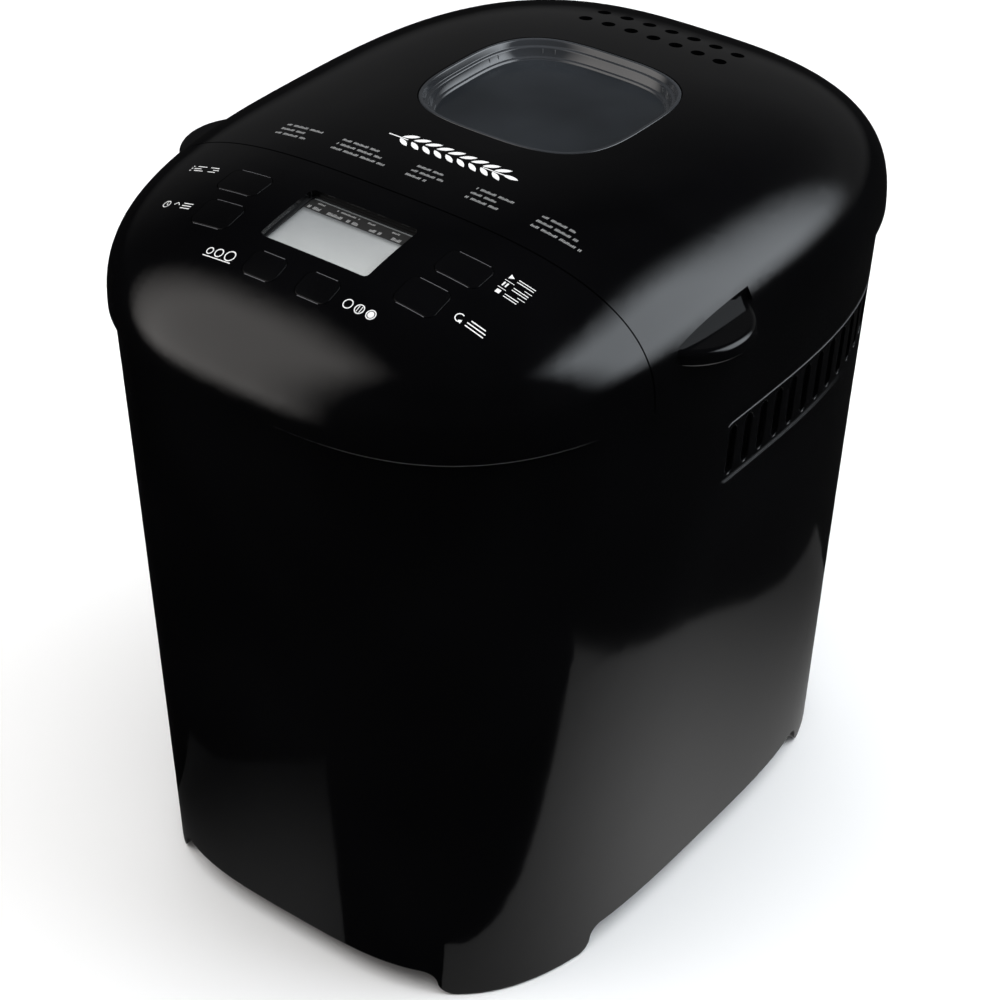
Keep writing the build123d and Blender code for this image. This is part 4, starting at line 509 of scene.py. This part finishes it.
menu_mark = [bar(-78.8, -88 + row * 1.3, 0.6, 0.42) for row in (-1, 0, 1)]
menu_mark += [bar(-71.6, -88 + row * 1.3, 12.0 - abs(row) * 1.6, 0.36) for row in (-1, 0, 1)]
time_mark = arc(-71.8, -109.2, 1.45, 0.3, 0, 360)
time_mark += [rod(-71.8, -109.2, -71.8, -108.2, 0.26), rod(-71.8, -109.2, -71.0, -109.6, 0.26)]
time_mark += [rod(-68.2, -109.2, -66.9, -108.0, 0.3), rod(-66.9, -108.0, -65.6, -109.2, 0.3)]
time_mark += [bar(-62.0, -109.2 + row * 1.2, 4.4, 0.34) for row in (-1, 0, 1)]
weight_mark = []
LOAVES = ((-36.0, -125.2, 1.25, 0.36), (-31.9, -125.0, 1.6, 0.38), (-26.9, -124.8, 2.0, 0.4))
for x, y, radius, width in LOAVES:
    weight_mark += arc(x, y, radius, width, 0, 360)
weight_mark += [rod(-37.6, -127.4, -24.8, -127.4, 0.34)]
colour_mark = []
for x in (26.4, 31.4, 36.4):
    colour_mark += arc(x, -124.4, 1.75, 0.36, 0, 360)
colour_mark += [rod(31.4 + step, -125.6, 31.4 + step, -123.2, 0.26) for step in (-0.6, 0.6)]
colour_mark += [disc(36.4, -124.4, 1.2)]
cycle_mark = arc(62.6, -109.4, 1.6, 0.38, 60, 270) + [[(62.6, -110.5), (64.0, -111.3), (63.9, -109.7)]]
cycle_mark += [bar(69.6, -109.4 + row * 1.3, 7.6 - 1.6 * (row == 1), 0.4) for row in (-1, 0, 1)]
start_mark = [[(64.6, -85.3), (64.6, -83.1), (66.5, -84.2)]]
start_mark += [bar(71.6, -83.7, 7.0, 0.3), bar(71.6, -84.8, 7.0, 0.3)]
start_mark += [bar(69.8, -86.4, 11.4, 0.22), bar(65.0, -88.3, 0.55, 2.0), bar(66.3, -88.3, 0.55, 2.0)]
start_mark += [bar(72.0, -87.8, 6.2, 0.3), bar(72.0, -88.9, 6.2, 0.3)]
start_mark += [bar(69.8, -90.4, 11.4, 0.22), bar(65.6, -92.3, 1.7, 1.7)]
start_mark += [bar(71.0, -91.8, 5.6, 0.3), bar(71.0, -92.9, 5.6, 0.3)]
key_marks = menu_mark + time_mark + weight_mark + colour_mark + cycle_mark + start_mark
printed("key_marks", key_marks, panel_top, print_white, "machine")

wheat = [rod(-27.0, -37.2, 26.0, -37.2, 0.5)]
for index in range(9):
    x = -21.0 + index * 5.3
    wheat.append(leaf(x + 2.6, -37.2 + 2.35, 6.6, 2.1, 32))
    wheat.append(leaf(x + 2.6, -37.2 - 2.35, 6.6, 2.1, -32))
wheat.append(leaf(29.0, -37.2, 6.6, 2.1, 0))
printed("wheat_emblem", wheat, lid_top, print_white, "lid")

programme = []
COLUMNS = ((-65.0, 17.0, 3), (-38.0, 25.0, 3), (-3.0, 14.0, 3), (24.0, 17.0, 3), (53.0, 21.0, 3))
for column, (x, length, lines) in enumerate(COLUMNS):
    for line in range(lines):
        part = length * (1.0 - 0.17 * ((column * 2 + line * 5) % 3))
        programme += ticks(x, -50.2 - 3.4 * line, part, 1.25, column * 7 + line * 3)
printed("programme_marks", programme, lid_top, print_grey, "lid")

# painted highlights: thin light lines where the keys' front and rear edges catch the light
# centre from the display's centre, width and height
KEYS = (
    (-50.0, 6.8, 19.5, 12.5), (50.0, 6.8, 19.5, 12.5), (-46.5, -11.7, 18.0, 13.0),
    (46.5, -11.7, 18.0, 13.0), (-12.0, -25.7, 15.5, 10.5), (12.0, -25.7, 15.5, 10.5),
)
PANEL_Y = -97.8
KEY_CORNERS = 6.0
edges = []
for x, y, width, height in KEYS:
    for side in (-1, 1):
        for share in range(-4, 4):
            step = (width - KEY_CORNERS) / 8
            edge_y = PANEL_Y + y + side * (height / 2 + 0.12)
            edges.append(bar(x + (share + 0.5) * step, edge_y, step, 0.22))
cover_top = tree_of("control_cover")
printed("key_edge_highlights", edges, cover_top, edge_highlight_grey, "machine", proud=0.00004)

# ------------------------------------------------------------------ painted highlights on edges of the shell that catch the light


def thread(name, points, radius, material, body, closed=False, sides=6):
    """Thin round bead along points in metres, tapering off at open ends."""
    mesh = bmesh.new()
    rows, count = [], len(points)
    for index, point in enumerate(points):
        before = points[index - 1] if closed or index else point
        after = points[(index + 1) % count] if closed or index < count - 1 else point
        run = (after - before).normalized()
        side = run.cross(Vector((0, 0, 1)))
        side = side.normalized() if side.length > 0.1 else Vector((1, 0, 0)).cross(run).normalized()
        up = side.cross(run)
        size = radius if closed else radius * min(1.0, 0.15 + 0.2 * min(index, count - 1 - index))
        rows.append([
            mesh.verts.new(point + (side * math.cos(a) + up * math.sin(a)) * size)
            for a in [2 * math.pi * step / sides for step in range(sides)]
        ])
    pairs = list(zip(rows, rows[1:])) + ([(rows[-1], rows[0])] if closed else [])
    for low, high in pairs:
        for step in range(sides):
            after = (step + 1) % sides
            mesh.faces.new((low[step], low[after], high[after], high[step])).smooth = True
    if not closed:
        mesh.faces.new(rows[0])
        mesh.faces.new(rows[-1])
    bmesh.ops.recalc_face_normals(mesh, faces=mesh.faces[:])
    return link(name, mesh, material, body)


shell = tree_of("body_shell")


def wall_ring(height, count=240):
    """Points on the shell's outer wall at a height in millimetres, round from the rear, but for its
    hinge cut-out."""
    points = []
    for index in range(count):
        a = math.pi / 2 + 2 * math.pi * index / count
        out = Vector((math.cos(a), math.sin(a), 0))
        hit = shell.ray_cast(out * 0.4 + Vector((0, 0, height * MM)), -out)[0]
        if hit and hit.dot(out) > 0.1 and abs(a - math.pi / 2) > 0.02:
            points.append(hit)
    gaps = [(second - first).length for first, second in zip(points, points[1:])]
    cut = max(range(len(gaps)), key=gaps.__getitem__)
    return points[cut + 1:] + points[:cut + 1] if gaps[cut] > 0.02 else points


BEAD = 0.0003
# painted highlight: a grey bead along the collar groove's edge on the body shell
thread("collar_highlight", wall_ring(258.7), BEAD, edge_highlight_grey, "machine")



def dish_wall(x=None, y=None, inset=4.0):
    """Point of the window's wall at one plan coordinate, on the left wall or on the rear wall."""
    half_x, half_y = WINDOW_X - inset, WINDOW_Y - inset
    if x is None:
        return -half_x * (1 - abs(y / half_y) ** WINDOW_POWER) ** (1 / WINDOW_POWER), WINDOW_CENTRE + y
    return x, WINDOW_CENTRE + half_y * (1 - abs(x / half_x) ** WINDOW_POWER) ** (1 / WINDOW_POWER)


RIB_RADIUS = 0.0004
RIB_DROPS = (4.0, 4.7, 5.4, 6.1, 6.9)  # below the dome's top
RIB_PLACES = [dish_wall(y=y) for y in (15.0, 19.5)] + [dish_wall(x=x) for x in (-29.0, -24.5, 27.5, 31.5)]
for index, (x, y) in enumerate(RIB_PLACES):
    line = [Vector((x, y, DOME_TOP - drop)) * MM for drop in RIB_DROPS]
    thread("window_rib_%d" % index, line, RIB_RADIUS, rib_clear, "lid")

VENT_Y, VENT_Z, BAND_LENGTH, BAND_HEIGHT, BAND_CORNER = 41.0, 216.7, 128.4, 27.0, 4.6
VENT_PITCH, VENT_SLOT, VENT_COUNT = 10.4, 21.5, 12
band_edge = []
half_long, half_high = BAND_LENGTH / 2, BAND_HEIGHT / 2
for step in range(7):
    a = math.radians(180 - 15 * step)
    band_edge.append((VENT_Y - half_long + BAND_CORNER + BAND_CORNER * math.cos(a),
                      VENT_Z + half_high - BAND_CORNER + BAND_CORNER * math.sin(a)))
straight = BAND_LENGTH - 2 * BAND_CORNER
for step in range(1, 41):
    band_edge.append((VENT_Y - half_long + BAND_CORNER + straight * step / 40, VENT_Z + half_high))


def on_wall(side, y, z):
    hit = shell.ray_cast(Vector((side * 0.4, y * MM, z * MM)), Vector((-side, 0, 0)))
    return hit[0]


# painted highlights: a grey bead along each vent band's upper edge and a grey dot at each slot's foot
for side, label in ((1, "right"), (-1, "left")):
    rail = [
        on_wall(side, y + (0.3 if index < 4 else 0.0), z + 0.25) for index, (y, z) in enumerate(band_edge)
    ]
    thread("vent_highlight_" + label, rail, BEAD, edge_highlight_grey, "machine")
    for slot in range(VENT_COUNT):
        y = VENT_Y + (slot - (VENT_COUNT - 1) / 2) * VENT_PITCH
        foot = VENT_Z - VENT_SLOT / 2 - 0.35
        spot = [on_wall(side, y + shift, foot) for shift in (-0.9, -0.3, 0.3, 0.9)]
        name = "vent_glint_%s_%d" % (label, slot)
        thread(name, spot, BEAD * 1.3, glint_grey, "machine")

# ------------------------------------------------------------------ display print, on the lens

lens_top = tree_of("display_lens")
STRIP_WIDTH, STRIP_STEPS = 48.4, 12
strip = []
for index in range(STRIP_STEPS):
    x = STRIP_WIDTH * ((index + 0.5) / STRIP_STEPS - 0.5)
    strip.append(bar(x, PANEL_Y + 11.0, STRIP_WIDTH / STRIP_STEPS, 5.4))
printed("display_strip", strip, lens_top, print_dark, "machine", proud=0.00003)
display_marks = []
for x, length in ((-22.5, 5.5), (-14.5, 8.0), (-4.5, 5.0), (6.0, 4.5), (16.0, 4.5)):
    display_marks += ticks(x, PANEL_Y + 9.6, length, 1.5, int(x) % 9)
for x, length in ((-21.0, 4.0), (-11.0, 10.0), (3.0, 3.0), (14.0, 3.0)):
    display_marks += ticks(x, PANEL_Y + 12.4, length, 0.8, int(length))
printed("display_marks", display_marks, lens_top, print_grey, "machine", proud=0.00008)

# ------------------------------------------------------------------ floor and lights


def stage_floor():
    mesh = bpy.data.meshes.new("floor")
    reach = 14.0
    corners = [(-reach, -reach, 0), (reach, -reach, 0), (reach, reach, 0), (-reach, reach, 0)]
    mesh.from_pydata(corners, [], [(0, 1, 2, 3)])
    floor = bpy.data.objects.new("floor", mesh)
    scene.collection.objects.link(floor)
    material, tree, shader = new_material("floor_paper")
    grain = noise_node(tree, 3.0)
    shade = tint(tree, spread(tree, grain.outputs["Fac"], 0.0, 1.0), (0.88, 0.88, 0.88), (0.9, 0.9, 0.9))
    tree.links.new(shade, shader.inputs["Base Color"])
    shader.inputs["Roughness"].default_value = 0.9
    shader.inputs["Specular IOR Level"].default_value = 0.0
    mesh.materials.append(material)
    floor.visible_glossy = False
    return floor


def direction(azimuth, elevation):
    """Unit vector; azimuth 0 is -Y and 90 is +X, in degrees."""
    a, e = math.radians(azimuth), math.radians(elevation)
    return Vector((math.sin(a) * math.cos(e), -math.cos(a) * math.cos(e), math.sin(e)))


def area_lamp(name, place, toward, width, height, power, color):
    """Rectangular lamp at a place, shining back along its toward vector, unseen by the camera."""
    data = bpy.data.lights.new(name, "AREA")
    data.shape = "RECTANGLE"
    data.size, data.size_y = width, height
    data.energy = power
    data.color = color
    lamp = bpy.data.objects.new(name, data)
    scene.collection.objects.link(lamp)
    lamp.location = place
    lamp.rotation_mode = "QUATERNION"
    lamp.rotation_quaternion = toward.to_track_quat("Z", "Y")
    lamp.visible_camera = False
    return lamp


def faded(lamp, left, right, bottom, top):
    """Fade a lamp to nothing over a share of its width or height at each side."""
    lamp.data.use_nodes = True
    tree = lamp.data.node_tree
    place = tree.nodes.new("ShaderNodeNewGeometry")
    split = tree.nodes.new("ShaderNodeSeparateXYZ")
    tree.links.new(place.outputs["Parametric"], split.inputs[0])
    total = 1.0
    for socket, start, end in ((split.outputs[0], 0.0, left), (split.outputs[0], 1.0, 1.0 - right),
                               (split.outputs[1], 0.0, bottom), (split.outputs[1], 1.0, 1.0 - top)):
        fade = tree.nodes.new("ShaderNodeMapRange")
        fade.interpolation_type = "SMOOTHSTEP"
        fade.inputs["From Min"].default_value = min(start, end)
        fade.inputs["From Max"].default_value = max(start, end)
        fade.inputs["To Min"].default_value = float(start > end)
        fade.inputs["To Max"].default_value = float(start < end)
        tree.links.new(socket, fade.inputs["Value"])
        total = math_node(tree, "MULTIPLY", fade.outputs["Result"], total)
    tree.links.new(total, tree.nodes["Emission"].inputs["Strength"])


def glow(name, corner, along, length, width, core, reach, power):
    """Patch of light on the floor, seen only in the gloss: corner, direction and sizes in millimetres,
    brightest at its core and fading over a reach."""
    u = Vector((along[0], along[1], 0)).normalized()
    v = Vector((-u.y, u.x, 0))
    middle = (Vector((*corner, 0)) + u * length / 2 + v * width / 2) * MM
    data = bpy.data.lights.new(name, "AREA")
    data.shape = "RECTANGLE"
    data.size, data.size_y = length * MM, width * MM
    data.energy = power
    lamp = bpy.data.objects.new(name, data)
    scene.collection.objects.link(lamp)
    lamp.location = middle + Vector((0, 0, 0.0003))
    lamp.rotation_euler = (math.pi, 0, math.atan2(u.y, u.x))
    lamp.visible_camera = False
    lamp.visible_diffuse = False
    data.use_nodes = True
    tree = data.node_tree
    place = tree.nodes.new("ShaderNodeNewGeometry")
    away = tree.nodes.new("ShaderNodeVectorMath")
    away.operation = "DISTANCE"
    tree.links.new(place.outputs["Position"], away.inputs[0])
    away.inputs[1].default_value = (core[0] * MM, core[1] * MM, 0.0)
    fade = tree.nodes.new("ShaderNodeMapRange")
    fade.interpolation_type = "SMOOTHSTEP"
    fade.inputs["From Max"].default_value = reach * MM
    fade.inputs["To Min"].default_value = 1.0
    fade.inputs["To Max"].default_value = 0.12
    tree.links.new(away.outputs["Value"], fade.inputs["Value"])
    tree.links.new(fade.outputs["Result"], tree.nodes["Emission"].inputs["Strength"])
    return lamp


stage_floor()
UP = Vector((0, 0, 1))
MIDDLE = UP * 0.2
BOX_DISTANCE = 1.6
overhead = area_lamp("overhead_fill", UP * 3.2, UP, 5.0, 5.0, 200.0, (1.0, 1.0, 1.0))
overhead.visible_glossy = False
toward = direction(-44, 20)
place = MIDDLE + toward * BOX_DISTANCE
left_box = area_lamp("front_left_box", place, toward, 2.1, 3.4, 32.0, (1.0, 0.96, 0.93))
faded(left_box, 0.4, 0.4, 0.25, 0.3)
toward = direction(125, 33)
place = MIDDLE + toward * BOX_DISTANCE
rear_box = area_lamp("right_rear_box", place, toward, 2.2, 1.9, 44.0, (0.88, 0.94, 1.0))
faded(rear_box, 0.3, 0.35, 0.35, 0.3)
glow("right_floor_glow", (280, -40), (-0.5, 0.866), 320, 230, (130, -20), 230, 0.12)
glow("front_floor_glow", (-45, -235), (0.62, 0.78), 120, 120, (-10, -150), 100, 0.006)

world = bpy.data.worlds.new("studio")
scene.world = world
world.use_nodes = True
sky = world.node_tree
place = sky.nodes.new("ShaderNodeTexCoord")
split = sky.nodes.new("ShaderNodeSeparateXYZ")
sky.links.new(place.outputs["Generated"], split.inputs[0])
rear = sky.nodes.new("ShaderNodeMapRange")
rear.interpolation_type = "SMOOTHSTEP"
rear.inputs["From Min"].default_value = 0.0
rear.inputs["From Max"].default_value = 0.9
rear.inputs["To Min"].default_value = 0.006
rear.inputs["To Max"].default_value = 0.09
sky.links.new(split.outputs[1], rear.inputs["Value"])
upper = sky.nodes.new("ShaderNodeMapRange")
upper.inputs["From Min"].default_value = 0.35
upper.inputs["From Max"].default_value = 0.65
upper.inputs["To Min"].default_value = 1.0
upper.inputs["To Max"].default_value = 0.05
sky.links.new(split.outputs[2], upper.inputs["Value"])
above = sky.nodes.new("ShaderNodeMapRange")
above.inputs["From Min"].default_value = -0.05
above.inputs["From Max"].default_value = 0.08
above.inputs["To Min"].default_value = 0.1
above.inputs["To Max"].default_value = 1.0
sky.links.new(split.outputs[2], above.inputs["Value"])
banded = math_node(sky, "MULTIPLY", rear.outputs["Result"], upper.outputs["Result"])
strength = math_node(sky, "MULTIPLY", banded, above.outputs["Result"])
sky.links.new(strength, sky.nodes["Background"].inputs["Strength"])
sky.nodes["Background"].inputs["Color"].default_value = (1.0, 1.0, 1.0, 1.0)
